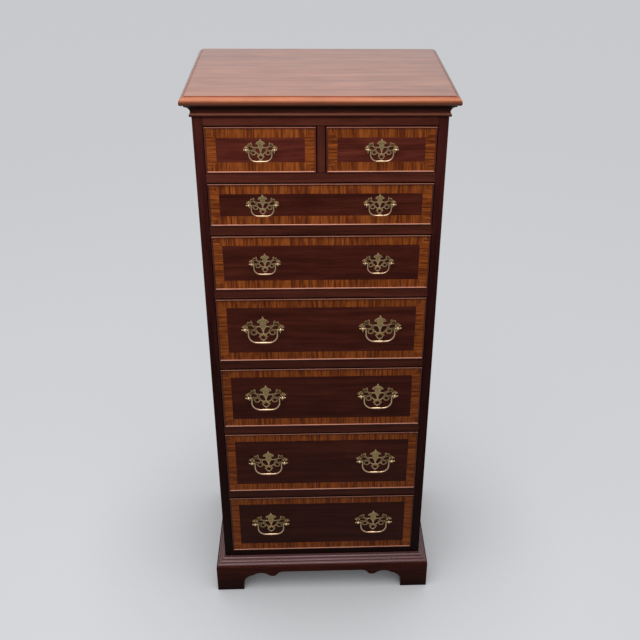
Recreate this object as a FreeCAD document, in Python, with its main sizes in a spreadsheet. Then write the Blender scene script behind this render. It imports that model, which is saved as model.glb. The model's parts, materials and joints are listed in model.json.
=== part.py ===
import FreeCAD, Part
import math
import os
import Sketcher
from FreeCAD import Rotation, Vector

# A tall mahogany chest of seven drawer rows, the top row split in two, on a bracket base.
# Frame: +Z up, the drawers face -Y, and the origin lies on the floor under the middle of
# the chest's overall box. Lengths are millimetres.

SIZES = {
    # case
    "case_width": 574.2,
    "case_depth": 410.0,
    "side_thickness": 22.5,
    "case_drop": 16.0,
    "back_thickness": 6.0,
    "back_rebate": 12.0,
    "housing_depth": 6.0,
    "housing_stop": 8.0,
    # rails between the drawers, and the boards above and below them
    "rail_height": 24.0,
    "rail_depth": 60.0,
    "top_rail_height": 51.3,
    "bottom_rail_show": 44.5,
    "apron_thickness": 22.0,
    "runner_width": 40.0,
    "runner_thickness": 20.0,
    "divider_width": 19.6,
    "guide_height": 30.0,
    "centre_runner_width": 70.0,
    "stop_width": 20.0,
    "stop_height": 18.0,
    "stop_length": 18.7,
    "stop_clearance": 0.3,
    # top board and cornice
    "top_thickness": 20.0,
    "top_overhang": 23.4,
    "top_ovolo": 11.2,
    "top_quirk_width": 0.9,
    "top_quirk_height": 1.6,
    "top_lower_round": 4.5,
    "cornice_height": 30.0,
    "cornice_reach": 14.2,
    # bracket base
    "base_height": 91.0,
    "base_thickness": 25.5,
    "base_edge_round": 2.2,
    "base_mould_height": 24.0,
    "base_mould_reach": 22.0,
    "foot_width": 78.0,
    "scallop_length": 117.0,
    "scallop_height": 69.4,
    "back_rail_thickness": 20.0,
    "back_rail_lift": 30.0,
    "glue_block_width": 44.0,
    "glue_block_lift": 2.0,
    # drawer fronts, from the top row down
    "front_height_1": 108.8,
    "front_height_2": 106.2,
    "front_height_3": 145.1,
    "front_height_4": 182.0,
    "front_height_5": 184.9,
    "front_height_6": 200.2,
    "front_height_7": 200.9,
    "front_thickness": 20.0,
    "front_gap": 1.8,
    "reveal_above": 2.5,
    "reveal_below": 0.8,
    "bead_width": 3.6,
    "bead_depth": 7.0,
    "bead_stand": 2.4,
    "bead_round": 1.6,
    "banding_width": 21.5,
    "banding_thickness": 1.0,
    # drawer boxes
    "drawer_side": 12.0,
    "drawer_back": 12.0,
    "drawer_side_drop": 10.0,
    "drawer_bottom": 5.0,
    "drawer_bottom_lift": 10.0,
    "drawer_groove": 5.0,
    "tail_length": 11.0,
    "tail_pitch": 32.0,
    "runner_clearance": 0.3,
    # pulls: the two patterns' borings, the large ones' middle from the drawer's end, each
    # row's rise over the drawer's middle, and the large pattern's sizes
    "large_boring": 88.9,
    "small_boring": 63.5,
    "large_pull_inset": 114.8,
    "pull_rise_1": 6.0,
    "pull_rise_2": 6.3,
    "pull_rise_3": 5.8,
    "pull_rise_4": 11.6,
    "pull_rise_5": 12.6,
    "pull_rise_6": 12.0,
    "pull_rise_7": 14.0,
    "plate_thickness": 2.0,
    "post_standoff": 16.0,
    "post_ball_radius": 4.4,
    "post_neck_radius": 2.9,
    "post_collar_radius": 4.8,
    "post_collar_height": 1.6,
    "rod_radius": 2.0,
    "rod_reach": 6.0,
    "rod_clearance": 0.1,
    "nut_radius": 5.0,
    "nut_thickness": 3.5,
    "bail_wire_radius": 1.95,
    "bail_bar_radius": 2.75,
    "bail_drop": 38.0,
    "bail_arm_inset": 8.2,
    "bail_corner_radius": 22.5,
    "bail_bend_radius": 2.3,
    "bail_pin_reach": 8.4,
    "pin_clearance": 0.08,
}

# Overrun of a cut past the face that it leaves, as a share of the board's thickness.
OVERRUN_SHARE = 0.25
# How near a face an edge counts as lying on it, as a share of the size beside it, and how
# closely two levels agree, as a share of the level.
NEAR_SHARE = 0.25
LEVEL_SHARE = 1e-6
# Dovetails: the width at the neck and at the tip as shares of the pitch.
TAIL_SHARES = (0.45, 0.60)
# Where a post's neck meets its ball: along and across, as shares of the ball's radius.
SHOULDER_SHARES = (0.8, 0.6)
# A bail's bar: its radius at the ends as a share of the wire's, and the half length of its
# thickest part as a share of its own half length.
BAR_END_SHARE = 0.9
BAR_SWELL_SHARE = 0.33
# The rows from the top down that carry the small pull.
SMALL_PULL_ROWS = 3

# Outlines as shares. Cornice: (reach, height) with the arc radius to the next point as a
# share of the height, where the line curves. A positive share turns left, a negative right.
CORNICE_SHARES = [
    (0.00, 0.00, 0),
    (0.22, 0.00, 0.13),
    (0.22, 0.23, 0),
    (0.12, 0.27, -0.60),
    (1.00, 0.86, 0),
    (1.00, 1.00, 0),
    (0.00, 1.00, 0),
]

# Base moulding: the same form, three rounded steps from the outer edge up to the case.
BASE_MOULD_SHARES = [
    (0.00, 0.00, 0),
    (0.98, 0.00, 0),
    (1.00, 0.06, 0.24),
    (0.76, 0.29, 0),
    (0.71, 0.31, 0.26),
    (0.46, 0.54, 0),
    (0.41, 0.56, 0.30),
    (0.14, 0.82, 0),
    (0.11, 1.00, 0),
    (0.00, 1.00, 0),
]

# Bracket foot: from the foot's inner edge at the floor to the level apron, as shares of
# the scallop's length and height, with the arc radius as a share of the height.
SCALLOP_SHARES = [
    (0.00, 0.00, 0),
    (0.00, 0.43, -0.52),
    (0.25, 0.83, -0.50),
    (0.64, 0.82, 0.25),
    (0.84, 0.82, -0.32),
    (1.00, 1.00, 0),
]

# Pierced plate of the pulls, as shares of the boring. Every outline is a smooth closed line
# through its points. The finial and the openings on the middle line give their right half;
# the other pieces lie on the right and are mirrored to the left.
PLATE_FINIAL_SHARES = [
    (0.000, 0.344), (0.022, 0.296), (0.050, 0.255), (0.098, 0.238), (0.140, 0.205),
    (0.166, 0.160), (0.142, 0.130), (0.106, 0.134), (0.086, 0.106), (0.080, 0.064),
    (0.088, 0.024), (0.066, -0.034), (0.038, -0.090), (0.020, -0.150), (0.000, -0.215),
]
PLATE_DROP_SHARES = [(0.000, -0.482), (0.026, -0.452), (0.045, -0.425), (0.000, -0.400)]
PLATE_EYE_SHARES = [
    (0.000, -0.268), (0.026, -0.294), (0.060, -0.328), (0.069, -0.362), (0.046, -0.400),
    (0.000, -0.416),
]
PLATE_SHOULDER_SHARES = [
    (0.045, 0.052), (0.112, 0.034), (0.180, 0.028), (0.245, 0.036), (0.266, 0.008),
    (0.225, -0.020), (0.160, -0.008), (0.090, -0.010), (0.045, -0.026),
]
PLATE_SCROLL_SHARES = [
    (0.200, 0.010), (0.250, -0.014), (0.232, -0.086), (0.198, -0.152), (0.146, -0.212),
    (0.086, -0.256), (0.040, -0.250), (0.058, -0.230), (0.114, -0.194), (0.162, -0.136),
    (0.196, -0.068),
]
PLATE_LEG_SHARES = [
    (0.000, -0.200), (0.046, -0.214), (0.092, -0.246), (0.110, -0.292), (0.134, -0.320),
    (0.112, -0.356), (0.080, -0.350), (0.052, -0.310), (0.028, -0.266), (0.000, -0.250),
]
PLATE_WING_SHARES = [
    (0.238, 0.036), (0.284, 0.060), (0.304, 0.112), (0.300, 0.166), (0.330, 0.204),
    (0.360, 0.168), (0.394, 0.158), (0.436, 0.166), (0.444, 0.122), (0.476, 0.086),
    (0.536, 0.060), (0.588, 0.014), (0.604, -0.022), (0.566, -0.016), (0.520, 0.016),
    (0.466, 0.036), (0.404, 0.036), (0.350, 0.038), (0.300, 0.020), (0.262, -0.012),
]
PLATE_RIM_SHARES = [
    (0.210, -0.034), (0.262, -0.074), (0.336, -0.086), (0.400, -0.070), (0.452, -0.030),
    (0.476, -0.052), (0.420, -0.094), (0.340, -0.112), (0.256, -0.104), (0.204, -0.076),
]
PLATE_WEB_SHARES = [
    (0.336, -0.094), (0.400, -0.078), (0.456, -0.050), (0.530, -0.046), (0.520, -0.110),
    (0.500, -0.176), (0.486, -0.212), (0.466, -0.170), (0.440, -0.132), (0.404, -0.130),
    (0.366, -0.190), (0.336, -0.190),
]
# Round parts of the plate and round openings in it, as (across, up, radius).
PLATE_DISC_SHARES = [
    (0.264, -0.186, 0.093),
    (0.240, -0.092, 0.030),
    (0.500, 0.000, 0.070),
    (0.000, -0.352, 0.096),
    (0.000, -0.242, 0.030),
]
PLATE_LOOP_SHARES = [
    (0.264, -0.186, 0.060),
]

doc = FreeCAD.newDocument("tall_chest")
sheet = doc.addObject("Spreadsheet::Sheet", "sizes")
nodes = []


class Size:
    """A length: its value, and the expression over the sheet's aliases that gives it."""

    def __init__(self, value, text):
        self.value = value
        self.text = text

    def joined(self, other, sign, value):
        """The size that one sum of two sizes gives."""
        return Size(value, "(%s %s %s)" % (self.text, sign, other.text))

    def __add__(self, other):
        other = as_size(other)
        return self.joined(other, "+", self.value + other.value)

    def __sub__(self, other):
        other = as_size(other)
        return self.joined(other, "-", self.value - other.value)

    def __mul__(self, other):
        other = as_size(other)
        return self.joined(other, "*", self.value * other.value)

    def __truediv__(self, other):
        other = as_size(other)
        return self.joined(other, "/", self.value / other.value)

    def __neg__(self):
        return Size(-self.value, "(0 - %s)" % self.text)


def as_size(number):
    """A plain number as a Size, so that shares and lengths mix in one sum."""
    if isinstance(number, Size):
        return number
    return Size(float(number), repr(float(number)))


def span(one, other):
    """Two sizes with the lower one first."""
    return (one, other) if one.value < other.value else (other, one)


def fill_sheet():
    """Write the driving sizes to the sheet and give each row its alias."""
    lengths = {}
    for row, (alias, value) in enumerate(SIZES.items(), start=1):
        sheet.set("A%d" % row, alias)
        sheet.set("B%d" % row, str(value))
        sheet.setAlias("B%d" % row, alias)
    doc.recompute()
    for alias in SIZES:
        lengths[alias] = Size(float(sheet.get(alias)), "sizes." + alias)
    return lengths


def bind(thing, prop, size):
    """Tie one property to the sheet."""
    thing.setExpression(prop, as_size(size).text)


def node(label, thing):
    """Make an object a sub-part that is written to its own file."""
    thing.Label = label
    nodes.append(thing)
    return thing


def place(thing, x, y, z):
    """Tie an object's place to the sheet."""
    for axis, size in zip("xyz", (x, y, z)):
        bind(thing, "Placement.Base." + axis, size)


def box(name, x, y, z):
    """A straight board between three pairs of sizes."""
    board = doc.addObject("Part::Box", name)
    for side, (low, high) in zip(("Length", "Width", "Height"), (x, y, z)):
        bind(board, side, as_size(high) - low)
    place(board, x[0], y[0], z[0])
    return board


def rod(name, radius, x, y, z):
    """A round rod along Y, between a pair of sizes."""
    pin = doc.addObject("Part::Cylinder", name)
    bind(pin, "Radius", radius)
    bind(pin, "Height", as_size(y[1]) - y[0])
    pin.Placement.Rotation = Rotation(Vector(1, 0, 0), -90)
    place(pin, x, y[0], z)
    return pin


def group(name, pieces):
    """Separate solids held as one object."""
    bundle = doc.addObject("Part::Compound", name)
    bundle.Links = pieces
    return bundle


def cut(name, base, tools):
    """A board with the room that its neighbours take cut out of it."""
    shaped = doc.addObject("Part::Cut", name)
    shaped.Base = base
    shaped.Tool = tools[0] if len(tools) == 1 else group(name + "_tools", tools)
    return shaped


def fuse(name, pieces):
    """One solid made of several."""
    whole = doc.addObject("Part::MultiFuse", name)
    whole.Shapes = pieces
    whole.Refine = True
    return whole


def arc_of(start, end, radius, turn):
    """The arc under a half circle from start to end. turn is 1 to the left, -1 to the right."""
    chord = end - start
    middle = (start + end) * 0.5
    normal = Vector(-chord.y, chord.x, 0).normalize()
    rise = math.sqrt(max(radius ** 2 - (chord.Length / 2) ** 2, 0))
    centre = middle + normal * rise * turn
    angles = [math.atan2(point.y - centre.y, point.x - centre.x) for point in (start, end)]
    if turn < 0:
        angles.reverse()
    return Part.ArcOfCircle(Part.Circle(centre, Vector(0, 0, 1), radius), angles[0], angles[1])


def pin_point(sketch, index, corner, x, y):
    """Fix one end of a line or arc by its two distances from the sketch's origin."""
    for kind, axis, size in (("DistanceX", -2, x), ("DistanceY", -1, y)):
        if size.value == 0:
            sketch.addConstraint(Sketcher.Constraint("PointOnObject", index, corner, axis))
            continue
        number = sketch.addConstraint(
            Sketcher.Constraint(kind, -1, 1, index, corner, size.value))
        sketch.setExpression("Constraints[%d]" % number, size.text)


def draw(sketch, outline, closed=True):
    """Draw an outline of (x, y, radius) points. A radius curves the line to the next point,
    to the left where it is positive and to the right where it is negative."""
    points = [(as_size(x), as_size(y), as_size(radius)) for x, y, radius in outline]
    ends = points[1:] + points[:1] if closed else points[1:]
    for (x, y, radius), (next_x, next_y, _) in zip(points, ends):
        start = Vector(x.value, y.value, 0)
        end = Vector(next_x.value, next_y.value, 0)
        if radius.value == 0:
            index = sketch.addGeometry(Part.LineSegment(start, end), False)
            corners = (1, 2)
        else:
            turn = 1 if radius.value > 0 else -1
            index = sketch.addGeometry(arc_of(start, end, abs(radius.value), turn), False)
            corners = (1, 2) if turn > 0 else (2, 1)
            number = sketch.addConstraint(
                Sketcher.Constraint("Radius", index, abs(radius.value)))
            bend = radius if turn > 0 else -radius
            sketch.setExpression("Constraints[%d]" % number, bend.text)
        pin_point(sketch, index, corners[0], x, y)
        pin_point(sketch, index, corners[1], next_x, next_y)


def new_sketch(body, name, plane, offset):
    """An empty sketch on one of the body's origin planes, shifted along its normal."""
    sketch = body.newObject("Sketcher::SketchObject", name)
    support = [part for part in body.Origin.OriginFeatures if part.Role == plane][0]
    sketch.AttachmentSupport = (support, [""])
    sketch.MapMode = "FlatFace"
    bind(sketch, "AttachmentOffset.Base.z", offset)
    return sketch


def new_body(name):
    """An empty body."""
    return doc.addObject("PartDesign::Body", name)


def pad(body, sketch, length, backwards=False):
    """Add a sketch's outline as a solid."""
    feature = body.newObject("PartDesign::Pad", sketch.Name + "_pad")
    feature.Profile = sketch
    feature.Reversed = backwards
    bind(feature, "Length", length)
    return feature


def pocket_through(body, sketch):
    """Cut a sketch's outline right through the body, both ways from its plane, and make
    sure that it took wood away."""
    doc.recompute()
    before = body.Shape.Volume
    feature = body.newObject("PartDesign::Pocket", sketch.Name + "_pocket")
    feature.Profile = sketch
    feature.Type = "ThroughAll"
    feature.Midplane = True
    doc.recompute()
    if body.Shape.Volume >= before:
        raise RuntimeError("nothing cut by " + feature.Name)
    return feature


def edges_near(shape, test):
    """The names of the edges whose middle passes a test."""
    found = []
    for number, edge in enumerate(shape.Edges, start=1):
        first, last = edge.ParameterRange
        if test(edge.valueAt((first + last) / 2), edge):
            found.append("Edge%d" % number)
    return found


def round_edges(body, radius, test):
    """Round the edges of a body's last feature that pass a test."""
    doc.recompute()
    base = body.Tip
    feature = body.newObject("PartDesign::Fillet", base.Name + "_round")
    feature.Base = (base, edges_near(base.Shape, test))
    bind(feature, "Radius", radius)
    doc.recompute()
    return feature


def mitred_strips(name, x, z, width, back, depth):
    """Four strips round a rectangle, mitred at its corners, from the plane at back forwards."""
    strips = []
    lengths = (x[1] - x[0], z[1] - z[0])
    corners = ((x[0], z[0]), (x[1], z[0]), (x[1], z[1]), (x[0], z[1]))
    for number, (corner_x, corner_z) in enumerate(corners):
        length = lengths[number % 2]
        strip = doc.addObject("Part::Wedge", "%s_%d" % (name, number + 1))
        for prop, size in (
                ("Xmin", 0), ("Xmax", length), ("X2min", width), ("X2max", length - width),
                ("Ymin", 0), ("Ymax", width), ("Zmin", 0), ("Zmax", depth),
                ("Z2min", 0), ("Z2max", depth)):
            bind(strip, prop, size)
        quarter = Rotation(Vector(0, 1, 0), -90 * number)
        strip.Placement.Rotation = quarter.multiply(Rotation(Vector(1, 0, 0), 90))
        place(strip, corner_x, back, corner_z)
        strips.append(strip)
    return strips


L = fill_sheet()

# Planes and levels that several pieces share.
FRONT = (L["base_thickness"] - L["case_depth"]) / 2
BACK = FRONT + L["case_depth"]
HALF_CASE = L["case_width"] / 2
HALF_OPENING = HALF_CASE - L["side_thickness"]
CASE_BOTTOM = L["base_height"] - L["case_drop"]
BACK_FACE = BACK - L["back_thickness"]
STOP_FACE = BACK_FACE - L["stop_length"]
DRAWER_REAR = STOP_FACE - L["stop_clearance"]
ROWS = 7


def row_levels():
    """The bottom and top of each drawer front, from the top row down, and of each rail."""
    fronts = []
    rails = [(CASE_BOTTOM, L["base_height"] + L["bottom_rail_show"])]
    for row in range(ROWS, 0, -1):
        low = rails[-1][1] + L["reveal_below"]
        high = low + L["front_height_%d" % row]
        fronts.append((low, high))
        under = high + L["reveal_above"]
        height = L["rail_height"] if row > 1 else L["top_rail_height"]
        rails.append((under, under + height))
    return fronts[::-1], rails[::-1]


FRONTS, RAILS = row_levels()
CASE_TOP = RAILS[0][1]


def build_rails():
    """Eight front rails: the upright top and bottom ones, and six flat ones between. Their
    ends are housed in the sides, and each housing stops short of the front."""
    half = HALF_OPENING + L["housing_depth"]
    rails = []
    for level, (low, high) in enumerate(RAILS):
        rear = FRONT + (L["rail_depth"] if 0 < level < ROWS else L["apron_thickness"])
        name = "rail_%d" % level
        shown = box(name + "_shown", (-HALF_OPENING, HALF_OPENING), (FRONT, rear), (low, high))
        housed = box(name + "_housed", (-half, half), (FRONT + L["housing_stop"], rear),
                     (low, high))
        rails.append(fuse(name, [shown, housed]))
    return rails


def build_divider():
    """The upright between the two top drawers, and the guide that runs back from it."""
    half = L["divider_width"] / 2
    low, high = RAILS[1][1], RAILS[0][0]
    upright = box("divider_upright", (-half, half), (FRONT, FRONT + L["rail_depth"]), (low, high))
    guide = box("divider_guide", (-half, half), (FRONT + L["rail_depth"], BACK_FACE),
                (low, low + L["guide_height"]))
    return node("drawer_divider", group("drawer_divider", [upright, guide]))


def build_runners():
    """The boards along the sides that carry the drawers or keep the top ones level, the
    middle board under the divider, and the stops behind the drawers."""
    pieces = []
    for level, (low, high) in enumerate(RAILS):
        start = FRONT + (L["rail_depth"] if 0 < level < ROWS else L["apron_thickness"])
        top = low + L["runner_thickness"] if level == 0 else high
        for side in (-1, 1):
            name = "runner_%d_%s" % (level, "left" if side < 0 else "right")
            inner = (HALF_OPENING - L["runner_width"]) * side
            across = span(inner, HALF_OPENING * side)
            pieces.append(box(name, across, (start, BACK_FACE),
                              (top - L["runner_thickness"], top)))
            if level == 0:
                continue
            reach = (HALF_OPENING - L["stop_width"]) * side
            across = span(reach, HALF_OPENING * side)
            pieces.append(box(name + "_stop", across, (STOP_FACE, BACK_FACE),
                              (top, top + L["stop_height"])))
    half = L["centre_runner_width"] / 2
    high = RAILS[1][1]
    pieces.append(box("runner_middle", (-half, half), (FRONT + L["rail_depth"], BACK_FACE),
                      (high - L["runner_thickness"], high)))
    return node("drawer_runners", group("drawer_runners", pieces))


def build_case(rails):
    """The two sides, housed for the rails and rebated for the back, and the back itself."""
    half_back = HALF_CASE - L["back_rebate"]
    back = box("back_panel", (-half_back, half_back), (BACK_FACE, BACK), (CASE_BOTTOM, CASE_TOP))
    for side, label in ((-1, "side_panel_left"), (1, "side_panel_right")):
        across = span(HALF_OPENING * side, HALF_CASE * side)
        board = box(label + "_board", across, (FRONT, BACK), (CASE_BOTTOM, CASE_TOP))
        node(label, cut(label, board, rails + [back]))
    node("back_panel", back)
    node("front_rails", group("front_rails", rails))


def build_top():
    """The top board: a level field, a small step and a quarter round on three edges."""
    body = new_body("top_board")
    half = HALF_CASE + L["top_overhang"]
    edge = FRONT - L["top_overhang"]
    slab = new_sketch(body, "top_slab", "XY_Plane", CASE_TOP)
    draw(slab, [(-half, edge, 0), (half, edge, 0), (half, BACK, 0), (-half, BACK, 0)])
    pad(body, slab, L["top_thickness"] - L["top_quirk_height"])
    upper = CASE_TOP + L["top_thickness"] - L["top_quirk_height"]

    def moulded(level):
        """The front and side edges at one level, but not the rear one."""
        def test(point, edge_found):
            if abs(point.z - level.value) > level.value * LEVEL_SHARE:
                return False
            return point.y < BACK.value - L["top_overhang"].value
        return test

    round_edges(body, L["top_ovolo"], moulded(upper))
    round_edges(body, L["top_lower_round"], moulded(CASE_TOP))
    inset = L["top_ovolo"] + L["top_quirk_width"]
    field = new_sketch(body, "top_field", "XY_Plane", upper)
    draw(field, [(inset - half, edge + inset, 0), (half - inset, edge + inset, 0),
                 (half - inset, BACK, 0), (inset - half, BACK, 0)])
    pad(body, field, L["top_quirk_height"])
    return node("top_board", body)


def front_moulding(name, shares, reach, height, low):
    """A moulding across the front, mitred at both ends. Its outline is in shares of its
    reach from the case and of its height."""
    body = new_body(name)
    tip = HALF_CASE + reach
    profile = new_sketch(body, name + "_profile", "YZ_Plane", -tip)
    draw(profile, [(FRONT - reach * out, low + height * up, -(height * bend))
                   for out, up, bend in shares])
    pad(body, profile, tip * 2)
    for side, word in ((-1, "left"), (1, "right")):
        mitre = new_sketch(body, "%s_mitre_%s" % (name, word), "XY_Plane", low)
        draw(mitre, [(HALF_CASE * side, FRONT, 0), (tip * side, FRONT - reach, 0),
                     (tip * side, FRONT, 0)])
        pocket_through(body, mitre)
    return body


def side_moulding(name, shares, reach, height, low, side):
    """A moulding along one side, mitred to the front one and square at the back."""
    body = new_body(name)
    profile = new_sketch(body, name + "_profile", "XZ_Plane", reach - FRONT)
    draw(profile, [((HALF_CASE + reach * out) * side, low + height * up,
                    height * bend * side) for out, up, bend in shares])
    pad(body, profile, L["case_depth"] + reach, backwards=True)
    mitre = new_sketch(body, name + "_mitre", "XY_Plane", low)
    draw(mitre, [(HALF_CASE * side, FRONT, 0), (HALF_CASE * side, FRONT - reach, 0),
                 ((HALF_CASE + reach) * side, FRONT - reach, 0)])
    pocket_through(body, mitre)
    return body


def build_moulding(label, shares, reach, height, low):
    """One moulding in three lengths, round the front and both sides."""
    pieces = [front_moulding(label + "_front", shares, reach, height, low)]
    for side, word in ((-1, "left"), (1, "right")):
        pieces.append(side_moulding("%s_%s" % (label, word), shares, reach, height, low, side))
    return node(label, group(label, pieces))


def scallop(near, far):
    """The outline of the arch between two feet, from the near foot's inner edge to the far
    one's, standing on the floor."""
    length, height = L["scallop_length"], L["scallop_height"]
    rise = [(near + length * along, height * up, height * bend)
            for along, up, bend in SCALLOP_SHARES]
    bends = [share[2] for share in SCALLOP_SHARES[:-1]]
    fall = [(far - length * along, height * up, height * bend)
            for (along, up, _), bend in zip(SCALLOP_SHARES[::-1], bends[::-1] + [0])]
    return rise + fall


def build_base():
    """The bracket base: three mitred boards cut to feet, the plain rail across the back
    and the blocks glued behind the feet."""
    thick, height = L["base_thickness"], L["base_height"]
    outer = HALF_CASE + thick
    face = FRONT - thick

    def top_edge(level, near_face):
        """The edge at one level that lies on the outer face."""
        def test(point, edge_found):
            return abs(point.z - level.value) < level.value * LEVEL_SHARE and near_face(point)
        return test

    body = new_body("base_front")
    plan = new_sketch(body, "base_front_plan", "XY_Plane", 0)
    draw(plan, [(-outer, face, 0), (outer, face, 0), (HALF_CASE, FRONT, 0),
                (-HALF_CASE, FRONT, 0)])
    pad(body, plan, height)
    arch = new_sketch(body, "base_front_arch", "XZ_Plane", -FRONT)
    draw(arch, scallop(L["foot_width"] - outer, outer - L["foot_width"]))
    pocket_through(body, arch)
    round_edges(body, L["base_edge_round"],
                top_edge(height, lambda point: point.y < (face + thick * NEAR_SHARE).value))
    node("base_front", body)

    for side, label in ((-1, "base_left"), (1, "base_right")):
        body = new_body(label)
        plan = new_sketch(body, label + "_plan", "XY_Plane", 0)
        draw(plan, [(outer * side, face, 0), (outer * side, BACK, 0),
                    (HALF_CASE * side, BACK, 0), (HALF_CASE * side, FRONT, 0)])
        pad(body, plan, height)
        arch = new_sketch(body, label + "_arch", "YZ_Plane", HALF_CASE * side)
        draw(arch, scallop(face + L["foot_width"], BACK - L["foot_width"]))
        pocket_through(body, arch)
        limit = (outer - thick * NEAR_SHARE).value
        round_edges(body, L["base_edge_round"],
                    top_edge(height, lambda point: abs(point.x) > limit))
        node(label, body)

    rear = BACK - L["back_rail_thickness"]
    node("base_back_rail", box("base_back_rail", (-HALF_CASE, HALF_CASE), (rear, BACK),
                               (L["back_rail_lift"], CASE_BOTTOM)))
    width = L["glue_block_width"]
    blocks = []
    for side, word in ((-1, "left"), (1, "right")):
        across = span((HALF_CASE - width) * side, HALF_CASE * side)
        for end, along in (("front", (FRONT, FRONT + width)), ("rear", (rear - width, rear))):
            blocks.append(box("glue_block_%s_%s" % (end, word), across, along,
                              (L["glue_block_lift"], CASE_BOTTOM)))
    node("glue_blocks", group("glue_blocks", blocks))


def build_side_board(name, x, low, high, bottom):
    """A drawer side: a board with dovetails that reach forward into the front, grooved for
    the bottom."""
    root = FRONT + L["front_thickness"]
    board = box(name + "_board", x, (root, DRAWER_REAR), (low, high))
    height = high - low
    count = max(2, round(height.value / L["tail_pitch"].value))
    pitch = height / count
    tails = []
    for number in range(count):
        tail = doc.addObject("Part::Wedge", "%s_tail_%d" % (name, number + 1))
        neck, tip = (pitch * share for share in TAIL_SHARES)
        flare = (tip - neck) / 2
        for prop, size in (
                ("Xmin", 0), ("Xmax", neck), ("X2min", -flare), ("X2max", neck + flare),
                ("Ymin", 0), ("Ymax", L["tail_length"]), ("Zmin", 0), ("Zmax", x[1] - x[0]),
                ("Z2min", 0), ("Z2max", x[1] - x[0])):
            bind(tail, prop, size)
        tail.Placement.Rotation = Rotation(Vector(0, 0, 1), Vector(0, -1, 0), Vector(1, 0, 0))
        place(tail, x[0], root, low + pitch * (number + 0.5) - neck / 2)
        tails.append(tail)
    return cut(name, fuse(name + "_whole", [board] + tails), [bottom])


def build_core(name, x, z):
    """The board of a drawer front: a full slab behind, a step in for the cock beads and
    another for the crossbanding."""
    steps = ((as_size(0), L["bead_depth"], L["front_thickness"]),
             (L["bead_width"], L["banding_thickness"], L["bead_depth"]),
             (L["bead_width"] + L["banding_width"], as_size(0), L["banding_thickness"]))
    slabs = []
    for number, (inset, near, far) in enumerate(steps):
        slabs.append(box("%s_slab_%d" % (name, number + 1), (x[0] + inset, x[1] - inset),
                         (FRONT + near, FRONT + far), (z[0] + inset, z[1] - inset)))
    return fuse(name + "_board", slabs)


def build_drawer(name, x, low, high, pulls, boring):
    """One drawer: the front with its cock beads, the crossbanding, the box behind and the
    pulls. pulls holds the middle of each pull across the front."""
    thick = L["front_thickness"]
    beads = []
    for strip in mitred_strips(name + "_bead", x, (low, high), L["bead_width"],
                               FRONT + L["bead_depth"], L["bead_depth"] + L["bead_stand"]):
        strip.recompute()
        nose = doc.addObject("Part::Fillet", strip.Name + "_round")
        face = FRONT.value - L["bead_stand"].value
        found = edges_near(strip.Shape, lambda point, edge: (
            abs(point.y - face) < L["bead_round"].value * NEAR_SHARE
            and edge.Length > L["bead_width"].value * 2))
        nose.Base = strip
        nose.Edges = [(int(label[4:]), L["bead_round"].value, L["bead_round"].value)
                      for label in found]
        beads.append(nose)

    inset = L["bead_width"]
    field_x, field_z = (x[0] + inset, x[1] - inset), (low + inset, high - inset)
    banding = mitred_strips(name + "_band", field_x, field_z, L["banding_width"],
                            FRONT + L["banding_thickness"], L["banding_thickness"])
    node(name + "_banding", group(name + "_banding", banding))

    foot = low - L["reveal_below"] + L["runner_clearance"]
    top = high - L["drawer_side_drop"]
    wall = L["drawer_side"]
    groove = L["drawer_groove"]
    lift = foot + L["drawer_bottom_lift"]
    rear = DRAWER_REAR
    bottom = box(name + "_bottom", (x[0] + wall - groove, x[1] - wall + groove),
                 (FRONT + thick - groove, rear), (lift, lift + L["drawer_bottom"]))
    back = box(name + "_back", (x[0] + wall, x[1] - wall), (rear - L["drawer_back"], rear),
               (lift + L["drawer_bottom"], top))
    left = build_side_board(name + "_side_left", (x[0], x[0] + wall), foot, top, bottom)
    right = build_side_board(name + "_side_right", (x[1] - wall, x[1]), foot, top, bottom)
    node(name + "_box", group(name + "_box", [left, right, back, bottom]))

    middle = (low + high) / 2 + L["pull_rise_" + name.split("_")[1]]
    bores = []
    for number, centre in enumerate(pulls):
        for side in (-1, 1):
            bores.append(rod("%s_bore_%d_%d" % (name, number + 1, side + 2),
                             L["rod_radius"] + L["rod_clearance"],
                             centre + boring / 2 * side,
                             (FRONT - thick * OVERRUN_SHARE, FRONT + thick * (1 + OVERRUN_SHARE)),
                             middle))
    grooved = cut(name + "_grooved", build_core(name + "_core", x, (low, high)), [left, right])
    slotted = cut(name + "_slotted", grooved, [bottom])
    core = cut(name + "_core", slotted, bores)
    node(name + "_front", group(name + "_front", [core] + beads))
    return middle


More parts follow.
